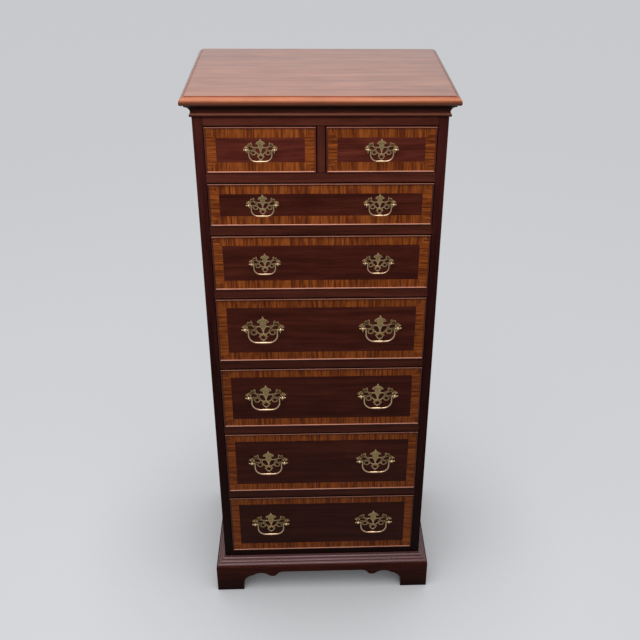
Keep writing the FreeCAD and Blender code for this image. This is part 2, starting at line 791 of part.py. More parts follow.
def build_plate(boring):
    """The pierced plate behind one pull, its back on the plane y = 0 and its post line on
    z = 0: leaves, scrolls and rings in one flat outline, less the piercings."""
    def flat(u, v):
        """A point of the plate's back from its two shares."""
        return Vector(u * boring.value, 0, v * boring.value)

    def disc(u, v, radius):
        """A round face."""
        circle = Part.makeCircle(radius * boring.value, flat(u, v), Vector(0, -1, 0))
        return Part.Face(Part.Wire(circle))

    def leaf(points):
        """A face inside a smooth closed line, all such faces turned the same way."""
        turn = sum(one[0] * two[1] - two[0] * one[1]
                   for one, two in zip(points, points[1:] + points[:1]))
        line = Part.BSplineCurve()
        line.interpolate(Points=[flat(u, v) for u, v in (points if turn > 0 else points[::-1])],
                         PeriodicFlag=True)
        return Part.Face(Part.Wire(line.toShape()))

    def closed(half):
        """The right half of an outline and its mirror image as one line."""
        return half + [(-u, v) for u, v in half[:0:-1] if u > 0]

    solid = [leaf(closed(PLATE_FINIAL_SHARES)), leaf(closed(PLATE_DROP_SHARES))]
    holes = [leaf(closed(PLATE_EYE_SHARES))]
    bore = (L["rod_radius"] + L["rod_clearance"]).value / boring.value
    for side in (1, -1):
        for points in (PLATE_SHOULDER_SHARES, PLATE_SCROLL_SHARES, PLATE_LEG_SHARES,
                       PLATE_WING_SHARES, PLATE_RIM_SHARES, PLATE_WEB_SHARES):
            solid.append(leaf([(side * u, v) for u, v in points]))
        solid += [disc(side * u, v, radius) for u, v, radius in PLATE_DISC_SHARES]
        holes += [disc(side * u, v, radius) for u, v, radius in PLATE_LOOP_SHARES]
        holes.append(disc(side * 0.5, 0, bore))
    outline = solid[0].fuse(solid[1:]).removeSplitter().cut(holes).removeSplitter()
    return outline.extrude(Vector(0, -L["plate_thickness"].value, 0))


def build_post(name, ratio):
    """A turned post, its axis along Y and its ball in front: collar, neck, ball with the
    cross hole for the bail, and the rod through the drawer front."""
    body = new_body(name)
    rod_radius = L["rod_radius"]
    collar = -L["plate_thickness"]
    ball = L["post_ball_radius"] * ratio
    neck = L["post_neck_radius"] * ratio
    centre = -L["post_standoff"]
    shoulder = centre + ball * SHOULDER_SHARES[0]
    profile = new_sketch(body, name + "_profile", "YZ_Plane", 0)
    draw(profile, [
        (L["front_thickness"] + L["rod_reach"], 0, 0),
        (L["front_thickness"] + L["rod_reach"], rod_radius, 0),
        (collar, rod_radius, 0),
        (collar, L["post_collar_radius"] * ratio, 0),
        (collar - L["post_collar_height"], L["post_collar_radius"] * ratio, 0),
        (collar - L["post_collar_height"], neck, 0),
        (shoulder, ball * SHOULDER_SHARES[1], ball),
        (centre, ball, ball),
        (centre - ball, 0, 0),
    ])
    turned = body.newObject("PartDesign::Revolution", name + "_turned")
    turned.Profile = profile
    turned.ReferenceAxis = (profile, ["H_Axis"])
    turned.Angle = 360
    doc.recompute()
    hole = new_sketch(body, name + "_pin_hole", "YZ_Plane", 0)
    radius = L["bail_wire_radius"] * ratio + L["pin_clearance"]
    number = hole.addGeometry(
        Part.Circle(Vector(centre.value, 0, 0), Vector(0, 0, 1), radius.value), False)
    size = hole.addConstraint(Sketcher.Constraint("Radius", number, radius.value))
    hole.setExpression("Constraints[%d]" % size, radius.text)
    pin_point(hole, number, 3, centre, as_size(0))
    pocket_through(body, hole)
    return body


def build_bail(name, boring, ratio):
    """A swinging handle in its own frame: the pins lie on the X axis, the bar hangs below.
    The wire is swept along one path and the bar swells towards its middle."""
    body = new_body(name)
    wire = L["bail_wire_radius"] * ratio
    drop = L["bail_drop"] * ratio
    arm = boring / 2 - L["bail_arm_inset"] * ratio
    tip = boring / 2 + L["bail_pin_reach"] * ratio
    bend = L["bail_bend_radius"] * ratio
    corner = L["bail_corner_radius"] * ratio
    bar = arm - corner

    path = new_sketch(body, name + "_path", "XZ_Plane", 0)
    draw(path, [
        (-tip, 0, 0),
        (-(arm + bend), 0, -bend),
        (-arm, -bend, 0),
        (-arm, corner - drop, corner),
        (-bar, -drop, 0),
        (bar, -drop, corner),
        (arm, corner - drop, 0),
        (arm, -bend, -bend),
        (arm + bend, 0, 0),
        (tip, 0, 0),
    ], closed=False)
    section = new_sketch(body, name + "_section", "YZ_Plane", -tip)
    number = section.addGeometry(
        Part.Circle(Vector(0, 0, 0), Vector(0, 0, 1), wire.value), False)
    size = section.addConstraint(Sketcher.Constraint("Radius", number, wire.value))
    section.setExpression("Constraints[%d]" % size, wire.text)
    pin_point(section, number, 3, as_size(0), as_size(0))
    swept = body.newObject("PartDesign::AdditivePipe", name + "_wire")
    swept.Profile = section
    swept.Spine = (path, ["Edge%d" % (edge + 1) for edge in range(9)])
    doc.recompute()

    swell = new_sketch(body, name + "_swell", "XZ_Plane", 0)
    bind(swell, "AttachmentOffset.Base.y", -drop)
    fat = L["bail_bar_radius"] * ratio
    slim = wire * BAR_END_SHARE
    middle = bar * BAR_SWELL_SHARE
    draw(swell, [(-bar, 0, 0), (bar, 0, 0), (bar, slim, 0), (middle, fat, 0),
                 (-middle, fat, 0), (-bar, slim, 0)])
    turned = body.newObject("PartDesign::Revolution", name + "_bar")
    turned.Profile = swell
    turned.ReferenceAxis = (swell, ["H_Axis"])
    turned.Angle = 360
    doc.recompute()
    return body


def build_nut():
    """The round nut on a post's rod, its face on the back of the drawer front."""
    face = L["front_thickness"].value
    thick = L["nut_thickness"].value
    disc = Part.makeCylinder(L["nut_radius"].value, thick, Vector(0, face, 0), Vector(0, 1, 0))
    bore = Part.makeCylinder(L["rod_radius"].value + L["rod_clearance"].value, thick,
                             Vector(0, face, 0), Vector(0, 1, 0))
    return disc.cut(bore)


class PullPattern:
    """The pieces of one size of pull, made once and copied to each place."""

    def __init__(self, word, boring):
        ratio = boring / L["large_boring"]
        self.boring = boring
        self.plate = build_plate(boring)
        self.post = build_post("post_" + word, ratio).Shape
        self.bail = build_bail("bail_" + word, boring, ratio).Shape
        self.nut = build_nut()

    def fixed_pieces(self):
        """Plate, posts and nuts of one pull, about its own middle."""
        pieces = [self.plate]
        for side in (-1, 1):
            for piece in (self.post, self.nut):
                copy = piece.copy()
                copy.translate(Vector(side * self.boring.value / 2, 0, 0))
                pieces.append(copy)
        return pieces


def build_pulls(name, pattern, centres, height):
    """The pulls of one drawer: the fixed brass in one node, each bail in a node of its own."""
    fixed = []
    for number, centre in enumerate(centres):
        for piece in pattern.fixed_pieces():
            copy = piece.copy()
            copy.translate(Vector(centre.value, 0, 0))
            fixed.append(copy)
        words = ("",) if len(centres) == 1 else ("_left", "_right")
        bail = doc.addObject("Part::Feature", name + "_bail" + words[number])
        bail.Shape = pattern.bail
        place(bail, centre, FRONT - L["post_standoff"], height)
        node(name + "_bail" + words[number], bail)
    brass = doc.addObject("Part::Feature", name + "_pulls")
    brass.Shape = Part.makeCompound(fixed)
    place(brass, as_size(0), FRONT, height)
    node(name + "_pulls", brass)


def build_drawers():
    """All eight drawers, from the top row down."""
    patterns = {
        "small": PullPattern("small", L["small_boring"]),
        "large": PullPattern("large", L["large_boring"]),
    }
    half = HALF_OPENING - L["front_gap"]
    inner = L["divider_width"] / 2 + L["front_gap"]
    for row, (low, high) in enumerate(FRONTS, start=1):
        size = "small" if row <= SMALL_PULL_ROWS else "large"
        offset = half - L["large_pull_inset"] if size == "large" else (inner + half) / 2
        if row == 1:
            spans = (("drawer_1_left", (-half, -inner), [-offset]),
                     ("drawer_1_right", (inner, half), [offset]))
        else:
            spans = (("drawer_%d" % row, (-half, half), [-offset, offset]),)
        for name, across, centres in spans:
            pattern = patterns[size]
            height = build_drawer(name, across, low, high, centres, pattern.boring)
            build_pulls(name, pattern, centres, height)


def check_and_write():
    """Recompute, refuse any failed object or bad shape, and write one file for each node."""
    doc.recompute()
    for thing in doc.Objects:
        if "Invalid" in thing.State or "Error" in thing.State:
            raise RuntimeError("failed: %s %s" % (thing.Name, thing.State))
    for thing in nodes:
        if thing.Shape.isNull() or not thing.Shape.isValid():
            raise RuntimeError("bad shape: " + thing.Label)
    os.makedirs("parts", exist_ok=True)
    for thing in nodes:
        thing.Shape.exportStep("parts/%s.step" % thing.Label)
        corners = thing.Shape.BoundBox
        print("%-24s solids %2d  z %8.2f to %8.2f" % (
            thing.Label, len(thing.Shape.Solids), corners.ZMin, corners.ZMax))


rail_boards = build_rails()
build_case(rail_boards)
build_divider()
build_runners()
build_top()
build_moulding("cornice_moulding", CORNICE_SHARES, L["cornice_reach"], L["cornice_height"],
               CASE_TOP - L["cornice_height"])
build_moulding("base_moulding", BASE_MOULD_SHARES, L["base_mould_reach"],
               L["base_mould_height"], L["base_height"])
build_base()
build_drawers()
check_and_write()
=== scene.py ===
"""Looks of a tall chest of drawers: each board's own grain, lacquer, brass, light and camera.

The chest's construction is loaded as a fixed frame. Every solid of it is copied, its arrises are
eased, its grain is laid board by board, and the copy rides on the body that it belongs to.
"""

import json
import logging
import math
import random
from collections.abc import Mapping, Sequence
from dataclasses import dataclass, field
from enum import Enum

import bpy
import numpy as np
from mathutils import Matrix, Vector

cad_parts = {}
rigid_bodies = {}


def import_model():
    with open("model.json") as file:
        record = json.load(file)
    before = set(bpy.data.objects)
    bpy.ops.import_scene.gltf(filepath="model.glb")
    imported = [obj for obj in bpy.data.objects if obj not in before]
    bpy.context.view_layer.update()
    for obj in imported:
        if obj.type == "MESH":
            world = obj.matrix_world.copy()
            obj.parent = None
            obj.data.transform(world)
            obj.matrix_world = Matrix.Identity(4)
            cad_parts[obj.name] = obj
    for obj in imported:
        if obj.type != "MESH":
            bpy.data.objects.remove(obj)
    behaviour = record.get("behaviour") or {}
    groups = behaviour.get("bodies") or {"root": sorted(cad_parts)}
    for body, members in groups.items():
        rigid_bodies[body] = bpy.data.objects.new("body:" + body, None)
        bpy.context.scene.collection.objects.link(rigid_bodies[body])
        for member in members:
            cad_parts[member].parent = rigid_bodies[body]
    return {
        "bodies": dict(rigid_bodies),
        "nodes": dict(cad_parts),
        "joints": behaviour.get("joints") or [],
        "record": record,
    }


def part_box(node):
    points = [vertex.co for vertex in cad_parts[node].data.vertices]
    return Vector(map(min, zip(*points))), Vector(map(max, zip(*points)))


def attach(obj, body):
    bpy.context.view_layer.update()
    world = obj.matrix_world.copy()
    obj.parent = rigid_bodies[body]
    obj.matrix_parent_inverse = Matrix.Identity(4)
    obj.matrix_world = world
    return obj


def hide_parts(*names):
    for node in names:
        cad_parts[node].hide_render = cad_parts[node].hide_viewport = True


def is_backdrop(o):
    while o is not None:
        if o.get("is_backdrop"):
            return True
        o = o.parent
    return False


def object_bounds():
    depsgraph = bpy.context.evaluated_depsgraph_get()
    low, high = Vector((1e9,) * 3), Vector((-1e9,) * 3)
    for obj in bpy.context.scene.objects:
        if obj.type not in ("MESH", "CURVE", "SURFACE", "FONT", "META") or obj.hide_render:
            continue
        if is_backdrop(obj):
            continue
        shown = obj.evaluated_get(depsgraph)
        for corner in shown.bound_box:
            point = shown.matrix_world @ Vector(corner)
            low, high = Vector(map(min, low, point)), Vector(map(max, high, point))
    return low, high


# Short names for the type hints: of numbers that belong together, and of Blender's types.
Pair = tuple[float, float]
Place = tuple[float, float, float]
Tree = bpy.types.NodeTree
Socket = bpy.types.NodeSocket
Material = bpy.types.Material
Mesh = bpy.types.Mesh
Piece = bpy.types.Object

LOG = logging.getLogger("tall_chest")
MILLIMETRE = 0.001

# Names of the attributes that carry a board's own coordinates, its brightness, how far in metres a
# point stands out from the drawer's face, how bright its brass is rubbed, and the number of the
# solid that a face belongs to.
BOARD = "board"
TONE = "tone"
PROUD = "proud"
RUBBING = "rubbing"
SOLID = "solid"

# Points closer than this many millimetres are one.
SAME_PLACE = 0.001

# Angles in degrees between two faces: up to the first they are one face, above the second their
# edge is eased, and up to the third they are shaded as one curve.
FLAT_ANGLE = 0.2
EASED_ANGLE = 35
SMOOTH_ANGLE = 34

# A face whose normal has this share upwards is level.
LEVEL = 0.99

# Each board starts somewhere else in the pattern of the grain, within this many metres.
GRAIN_START = 9

# A Mix node's sockets by number where it mixes colours: its share, both colours and its result.
MIX_SHARE = 0
MIX_FIRST = 6
MIX_SECOND = 7
MIX_COLOUR = 2


class Grain(Enum):
    """Which way the grain of a board runs."""

    ALONG = "along its longest side"
    ACROSS = "across its longest side, as crossbanding is cut"


def linear(colour: str) -> tuple[float, float, float, float]:
    """Turns an sRGB hex value to linear light.

    Args:
        colour: six hex digits after a hash.

    Returns:
        Red, green, blue and an alpha of 1.
    """
    channels = [int(colour[place:place + 2], 16) / 255 for place in (1, 3, 5)]
    bright = [c / 12.92 if c <= 0.04045 else ((c + 0.055) / 1.055) ** 2.4 for c in channels]
    return (*bright, 1.0)


def add_node(
    tree: Tree,
    kind: str,
    settings: Mapping[str | int, object] | None = None,
    links: Mapping[str | int, Socket] | None = None,
) -> bpy.types.Node:
    """Adds a node with its settings and its links.

    Args:
        tree: the node tree that gets it.
        kind: the node's type.
        settings: properties by name, and default values of inputs by name or number; "stops"
            are a colour ramp's.
        links: the sockets that feed its inputs, by the input's name or number.

    Returns:
        The new node.
    """
    node = tree.nodes.new(kind)
    for key, value in (settings or {}).items():
        if key == "stops":
            elements = node.color_ramp.elements
            while len(elements) < len(value):
                elements.new(1.0)
            for element, (place, colour) in zip(elements, value):
                element.position = place
                element.color = colour
        elif isinstance(key, str) and key in node.bl_rna.properties:
            setattr(node, key, value)
        else:
            node.inputs[key].default_value = value
    for socket, source in (links or {}).items():
        tree.links.new(source, node.inputs[socket])
    return node


def empty_tree(owner: Material | bpy.types.World) -> Tree:
    """Turns on the nodes of a material or a world and takes the first ones out.

    Args:
        owner: the material or world.

    Returns:
        Its node tree, empty.
    """
    owner.use_nodes = True
    owner.node_tree.nodes.clear()
    return owner.node_tree


def ranged(
    tree: Tree, value: Socket, old: Pair = (0.0, 1.0), new: Pair = (0.0, 1.0)
) -> Socket:
    """Carries a value over from one range to another, and holds it at the new one's ends."""
    ends = {"From Min": old[0], "From Max": old[1], "To Min": new[0], "To Max": new[1]}
    return add_node(tree, "ShaderNodeMapRange", ends, {"Value": value}).outputs["Result"]


def calculated(
    tree: Tree, operation: str, first: Socket, second: Socket, clamp: bool = False
) -> Socket:
    """Gives the result of a calculation with two values, held from 0 to 1 where clamp is set."""
    settings = {"operation": operation, "use_clamp": clamp}
    return add_node(tree, "ShaderNodeMath", settings, {0: first, 1: second}).outputs["Value"]


def recoloured(tree: Tree, colour: Socket, other: str, share: Socket) -> Socket:
    """Mixes another colour, a hex value, into a colour by its share."""
    settings = {"data_type": "RGBA", MIX_SECOND: linear(other)}
    links = {MIX_SHARE: share, MIX_FIRST: colour}
    return add_node(tree, "ShaderNodeMix", settings, links).outputs[MIX_COLOUR]


def noise(
    tree: Tree, place: Socket, scale: float, detail: float, roughness: float = 0.5
) -> bpy.types.Node:
    """Adds noise that goes by those coordinates."""
    settings = {"Scale": scale, "Detail": detail, "Roughness": roughness}
    return add_node(tree, "ShaderNodeTexNoise", settings, {"Vector": place})


def attribute(tree: Tree, name: str, output: str = "Fac") -> Socket:
    """Reads an attribute of the mesh."""
    return add_node(tree, "ShaderNodeAttribute", {"attribute_name": name}).outputs[output]


def per_metre(length: float) -> float:
    """Gives how often a mark of that length in millimetres comes in a metre."""
    return 1000 / length


def column(
    items: bpy.types.bpy_prop_collection, name: str, kind: type = np.float32, width: int = 1
) -> np.ndarray:
    """Reads one property of all points, edges, faces or corners of a mesh.

    Args:
        items: the mesh's points, edges, faces or corners, or the values of an attribute.
        name: the property's name.
        kind: the type of its numbers.
        width: how many numbers each item has.

    Returns:
        The numbers, with a row for each item where it has several.
    """
    values = np.empty(width * len(items), kind)
    items.foreach_get(name, values)
    return values.reshape(-1, width) if width > 1 else values


@dataclass(frozen=True)
class Wood:
    """A wood with its stain and satin lacquer: streaks and pores follow each board's own grain.

    Sizes are in millimetres: of a mark, its length along the grain and its width. The figure is
    noise of three sizes, streak, line and ribbon, and sways across the grain within waver over
    each waver_length; stops and pore_edges are values of such noise. A pore of these woods is a
    fifth of a millimetre wide, too fine to show, so it is drawn several times as coarse. The
    lacquer's roughness varies by rub_spread in patches of rub_size, and polish is the share of
    built-up polish over it. The wood's brightness is painted by height, as painted shade for the
    light that falls off towards the floor: painted_floor_shading is how bright the wood is at the
    floor, as a share of its brightness at painted_shading_height. Where they are given,
    painted_highlight is the colour of a painted highlight on what faces up,
    painted_underside_shade that of painted shade on what faces down, and painted_gap_shade that
    of painted shadow in the gap round a front, which reaches painted_gap_shade_edge over the
    front's face and thins out over painted_gap_shade_fade. A turn is the two slopes between
    which such a mark sets in, from 1 for what faces up to -1 for what faces down.
    """

    name: str
    dark: str
    middle: str
    light: str
    pore: str
    streak: Pair = (420.0, 13.0)
    line: Pair = (110.0, 2.6)
    ribbon: Pair = (90.0, 24.0)
    line_share: float = 0.38
    ribbon_share: float = 0.28
    stops: tuple[float, ...] = (0.36, 0.50, 0.66)
    pore_size: Pair = (7.0, 0.8)
    pore_edges: Pair = (0.60, 0.70)
    pore_share: float = 0.5
    pore_depth: float = 0.3
    relief: float = 0.05
    waver: float = 20.0
    waver_length: float = 260.0
    tone_share: float = 0.08
    painted_floor_shading: float = 1.0
    painted_shading_height: float = 1500.0
    painted_highlight: str = ""
    painted_highlight_turn: Pair = (0.15, 0.85)
    painted_underside_shade: str = ""
    painted_underside_shade_turn: Pair = (0.12, -0.25)
    painted_gap_shade: str = ""
    painted_gap_shade_edge: float = 0.0
    painted_gap_shade_fade: float = 0.8
    roughness: float = 0.34
    rub_size: Pair = (150.0, 40.0)
    rub_spread: Pair = (-0.05, 0.07)
    specular: float = 0.25
    gloss_tint: str = "#ffffff"
    polish: float = 0.0
    polish_roughness: float = 0.22

    def colours(self) -> tuple[str, ...]:
        """Gives the colours of the figure from the darkest on, one for each of its stops."""
        return (self.dark, self.middle, self.light)

    def stretched(self, tree: Tree, place: Socket, size: Pair) -> Socket:
        """Gives noise whose marks have that length along the grain and that width across it.

        Args:
            tree: the material's node tree.
            place: the board's own coordinates, grain first.
            size: the length and width of a mark in millimetres.

        Returns:
            The noise, from 0 to 1.
        """
        along, across = (per_metre(length) for length in size)
        scaled = add_node(
            tree, "ShaderNodeMapping", {"Scale": (along, across, across)}, {"Vector": place}
        )
        return noise(tree, scaled.outputs["Vector"], 1.0, 2.5, 0.55).outputs["Fac"]

    def wavering(self, tree: Tree, place: Socket) -> Socket:
        """Gives the board's coordinates shifted across the grain, so that no streak is ruled.

        Args:
            tree: the material's node tree.
            place: the board's own coordinates.

        Returns:
            The shifted coordinates.
        """
        slow = noise(tree, place, per_metre(self.waver_length), 1.0)
        centred = add_node(
            tree,
            "ShaderNodeVectorMath",
            {"operation": "SUBTRACT", 1: (0.5, 0.5, 0.5)},
            {0: slow.outputs["Color"]},
        )
        reach = self.waver * MILLIMETRE
        shift = add_node(
            tree,
            "ShaderNodeVectorMath",
            {"operation": "MULTIPLY", 1: (0.0, reach, reach)},
            {0: centred.outputs["Vector"]},
        )
        moved = add_node(
            tree,
            "ShaderNodeVectorMath",
            {"operation": "ADD"},
            {0: place, 1: shift.outputs["Vector"]},
        )
        return moved.outputs["Vector"]

    def figure(self, tree: Tree, place: Socket) -> Socket:
        """Gives the wood's colour before its pores.

        Args:
            tree: the material's node tree.
            place: the board's coordinates.

        Returns:
            The colour.
        """
        streaks, lines, ribbons = (
            self.stretched(tree, place, size) for size in (self.streak, self.line, self.ribbon)
        )
        fine = add_node(
            tree, "ShaderNodeMix", {"Factor": self.line_share}, {"A": streaks, "B": lines}
        )
        blended = add_node(
            tree,
            "ShaderNodeMix",
            {"Factor": self.ribbon_share},
            {"A": fine.outputs["Result"], "B": ribbons},
        )
        ramp = add_node(
            tree,
            "ShaderNodeValToRGB",
            {"stops": list(zip(self.stops, map(linear, self.colours())))},
            {"Fac": blended.outputs["Result"]},
        )
        return ramp.outputs["Color"]

    def marked(
        self, tree: Tree, colour: Socket, mark: str, source: Socket, turn: Pair
    ) -> Socket:
        """Lays a mark over a colour.

        Args:
            tree: the material's node tree.
            colour: the colour under the mark.
            mark: the mark's own colour, empty where the wood has no such mark.
            source: what the mark goes by.
            turn: the values of the source where the mark sets in and where it is full.

        Returns:
            The marked colour.
        """
        return recoloured(tree, colour, mark, ranged(tree, source, turn)) if mark else colour

    def with_painted_light_and_shade(self, tree: Tree, colour: Socket) -> Socket:
        """Gives the wood's colour with its painted highlight, painted underside shade and painted
        gap shadow.

        Args:
            tree: the material's node tree.
            colour: the wood's own colour.

        Returns:
            The colour with its painted light and shade.
        """
        if self.painted_highlight or self.painted_underside_shade:
            geometry = add_node(tree, "ShaderNodeNewGeometry")
            facing = add_node(
                tree, "ShaderNodeSeparateXYZ", {}, {"Vector": geometry.outputs["Normal"]}
            )
            slope = facing.outputs["Z"]
            # Painted highlight on what faces up, painted shade on what faces down.
            colour = self.marked(tree, colour, self.painted_highlight, slope, self.painted_highlight_turn)
            colour = self.marked(tree, colour, self.painted_underside_shade, slope, self.painted_underside_shade_turn)
        # Painted shadow in the gap round a front, behind the front's face.
        if self.painted_gap_shade:
            edge = self.painted_gap_shade_edge * MILLIMETRE
            turn = (edge, edge - self.painted_gap_shade_fade * MILLIMETRE)
            colour = self.marked(tree, colour, self.painted_gap_shade, attribute(tree, PROUD), turn)
        return colour

    def material(self) -> Material:
        """Builds the wood's material.

        Returns:
            The material, named for the wood.
        """
        made = bpy.data.materials.new(self.name)
        tree = empty_tree(made)
        board = attribute(tree, BOARD, "Vector")
        place = self.wavering(tree, board)
        height = add_node(
            tree,
            "ShaderNodeSeparateXYZ",
            {},
            {"Vector": add_node(tree, "ShaderNodeTexCoord").outputs["Object"]},
        )
        # Painted shade: the wood's brightness is painted by height, darker towards the floor.
        heights = (0.0, self.painted_shading_height * MILLIMETRE)
        painted_height_shading = ranged(tree, height.outputs["Z"], heights, (self.painted_floor_shading, 1.0))
        brightness = calculated(tree, "MULTIPLY", attribute(tree, TONE), painted_height_shading)
        toned = add_node(
            tree,
            "ShaderNodeHueSaturation",
            {},
            {"Color": self.figure(tree, place), "Value": brightness},
        )
        marks = self.stretched(tree, place, self.pore_size)
        pores = ranged(tree, marks, self.pore_edges, (0.0, self.pore_share))
        colour = recoloured(tree, toned.outputs["Color"], self.pore, pores)
        smooth, rough = (self.roughness + change for change in self.rub_spread)
        rubbed = ranged(tree, self.stretched(tree, board, self.rub_size), new=(smooth, rough))
        dents = add_node(
            tree,
            "ShaderNodeBump",
            {"Strength": self.relief, "Distance": self.pore_depth * MILLIMETRE, "invert": True},
            {"Height": pores},
        )
        shader = add_node(
            tree,
            "ShaderNodeBsdfPrincipled",
            {
                "IOR": 1.5,
                "Specular IOR Level": self.specular,
                "Specular Tint": linear(self.gloss_tint),
                "Coat Weight": self.polish,
                "Coat Roughness": self.polish_roughness,
            },
            {
                "Base Color": self.with_painted_light_and_shade(tree, colour),
                "Roughness": rubbed,
                "Normal": dents.outputs["Normal"],
            },
        )
        add_node(tree, "ShaderNodeOutputMaterial", {}, {"Surface": shader.outputs["BSDF"]})
        return made


@dataclass(frozen=True)
class Crossbanding(Wood):
    """Figured veneer laid across the edge of a front: amber with streaks as dark as its pores.

    Its short side comes first in its coordinates, and its ribbons are the faint patches along the
    strip where each leaf of veneer ends.
    """

    ribbon: Pair = (101.2, 46.0)
    line_share: float = 0.48
    ribbon_share: float = 0.12
    stops: tuple[float, ...] = (0.36, 0.45, 0.51, 0.60)

    def colours(self) -> tuple[str, ...]:
        """Gives the colours of the figure, the pores' before the wood's own."""
        return (self.pore, self.dark, self.middle, self.light)


@dataclass(frozen=True)
class AgedBrass:
    """Cast brass, long handled: dull olive close to the wood, rubbed bright where it stands out.

    Lengths are in millimetres. A point's colour goes from hollow to rubbed by how far it is rubbed,
    from 0 to 1, and stops are where each colour is full. rim_share is how much brighter
    a rim is than the metal rim_reach inside it, partly as wear and partly as a painted highlight.
    Rims are found by how open the metal under a point is: 1 where it is thick all round, rim_open
    at a rim. The grain of cast brass is far finer than grit, which is as coarse as it needs to be
    to show.
    """

    name: str = "aged_cast_brass"
    hollow: str = "#4a3a24"
    tarnish: str = "#9c865a"
    plain: str = "#b49c74"
    rubbed: str = "#c6a888"
    stops: tuple[float, ...] = (0.03, 0.24, 0.50, 0.85)
    rim_share: float = 0.0
    rim_reach: float = 1.8
    rim_open: float = 0.45
    mottle: float = 3.0
    mottle_edges: Pair = (0.35, 0.65)
    mottle_share: float = 0.08
    grit: float = 0.9
    grit_depth: float = 0.2
    relief: float = 0.12
    roughness: float = 0.34
    roughness_spread: float = 0.12

    def material(self) -> Material:
        """Builds the brass material.

        Returns:
            The material, named for the brass.
        """
        made = bpy.data.materials.new(self.name)
        tree = empty_tree(made)
        place = add_node(tree, "ShaderNodeTexCoord").outputs["Object"]
        mottle = noise(tree, place, per_metre(self.mottle), 3.0, 0.6).outputs["Fac"]
        share = self.mottle_share
        patina = ranged(tree, mottle, self.mottle_edges, (-share, share))
        handled = calculated(tree, "ADD", attribute(tree, RUBBING), patina, clamp=True)
        thickness = add_node(
            tree,
            "ShaderNodeAmbientOcclusion",
            {
                "inside": True,
                "only_local": True,
                "samples": 6,
                "Distance": self.rim_reach * MILLIMETRE,
            },
        )
        # A rim's extra brightness is partly wear and partly a painted highlight.
        rims = ranged(tree, thickness.outputs["AO"], (1.0, self.rim_open), (0.0, self.rim_share))
        wear = calculated(tree, "ADD", handled, rims, clamp=True)
        colours = map(linear, (self.hollow, self.tarnish, self.plain, self.rubbed))
        colour = add_node(
            tree,
            "ShaderNodeValToRGB",
            {"stops": list(zip(self.stops, colours))},
            {"Fac": wear},
        )
        spread = self.roughness_spread
        rough = ranged(tree, wear, new=(self.roughness + spread, self.roughness - spread))
        cast = add_node(
            tree,
            "ShaderNodeBump",
            {"Strength": self.relief, "Distance": self.grit_depth * MILLIMETRE},
            {"Height": noise(tree, place, per_metre(self.grit), 2.0).outputs["Fac"]},
        )
        shader = add_node(
            tree,
            "ShaderNodeBsdfPrincipled",
            {"Metallic": 1.0},
            {
                "Base Color": colour.outputs["Color"],
                "Roughness": rough,
                "Normal": cast.outputs["Normal"],
            },
        )
        add_node(tree, "ShaderNodeOutputMaterial", {}, {"Surface": shader.outputs["BSDF"]})
        return made


# Mahogany, stained red-brown and sprayed with satin lacquer: dark, with low streaks along it,
# and painted darker towards the floor as painted shade.
CASE_MAHOGANY = Wood(
    name="stained_mahogany",
    dark="#37150e",
    middle="#4f2119",
    light="#653023",
    pore="#1a0806",
    painted_floor_shading=0.55,
    specular=0.15,
    gloss_tint="#d8a090",
)
# The same stain on the rails, painted lighter and browner than the fronts for the light that they
# catch, and painted darker towards the floor.
RAIL_MAHOGANY = Wood(
    name="rail_mahogany",
    dark="#3e1c14",
    middle="#56291f",
    light="#6b372a",
    pore="#1e0c08",
    painted_floor_shading=0.55,
    specular=0.15,
    gloss_tint="#d8a090",
)
# Painted shade in the narrow gaps between the rails and the drawers: nearly black.
GAP_PAINTED_SHADE = Wood(
    name="painted_shade_in_the_gaps",
    dark="#120504",
    middle="#180706",
    light="#200a08",
    pore="#0c0302",
    specular=0.08,
)
# The same stain on the front edges of the sides, darker and plainer, partly stain and partly
# painted shade, which deepens to nearly black towards the floor.
STILE_STAIN_AND_SHADE = Wood(
    name="stile_stain_and_painted_shade",
    dark="#301413",
    middle="#441e1b",
    light="#552822",
    pore="#170706",
    painted_floor_shading=0.06,
    specular=0.08,
    gloss_tint="#d8a498",
)
# Mahogany of the bracket base: red-brown like the case, with painted shade that darkens it
# towards the floor.
BASE_MAHOGANY = Wood(
    name="base_mahogany",
    dark="#3a140d",
    middle="#501f15",
    light="#662b1f",
    pore="#1a0806",
    painted_floor_shading=0.12,
    painted_shading_height=120.0,
    specular=0.1,
    gloss_tint="#d8a090",
)
# Mahogany of the mouldings, glossy, with a painted highlight on what faces up and painted shade
# on what faces down.
MOULDING_MAHOGANY = Wood(
    name="moulding_painted_highlight_and_shade",
    dark="#331410",
    middle="#4a2019",
    light="#622e26",
    pore="#1c0806",
    painted_highlight="#683b38",
    painted_underside_shade="#220c08",
    painted_floor_shading=0.8,
    specular=0.45,
    gloss_tint="#f4dce0",
    roughness=0.28,
    polish=0.25,
)
# The cove under the top: stained like the case, with a painted highlight on its fillets where they
# face up, and its hollow painted black with shade where it turns under the board.
CORNICE_MAHOGANY = Wood(
    name="cornice_mahogany",
    dark="#3a1710",
    middle="#52271c",
    light="#683528",
    pore="#1e0c08",
    painted_highlight="#865444",
    painted_underside_shade="#140403",
    painted_underside_shade_turn=(-0.05, -0.6),
    specular=0.12,
    gloss_tint="#d8a090",
)
# Mahogany of the beads round the drawer fronts: a painted highlight on the nose, where it faces up,
# and painted shadow, nearly black, behind it in the gap round the front.
BEAD_MAHOGANY = Wood(
    name="bead_painted_highlight_and_shadow",
    dark="#3a150e",
    middle="#562318",
    light="#703224",
    pore="#1c0806",
    painted_highlight="#a86c58",
    painted_gap_shade="#0a0302",
    painted_gap_shade_edge=1.5,
    painted_floor_shading=0.7,
    specular=0.4,
    roughness=0.30,
    gloss_tint="#f0c8b8",
)
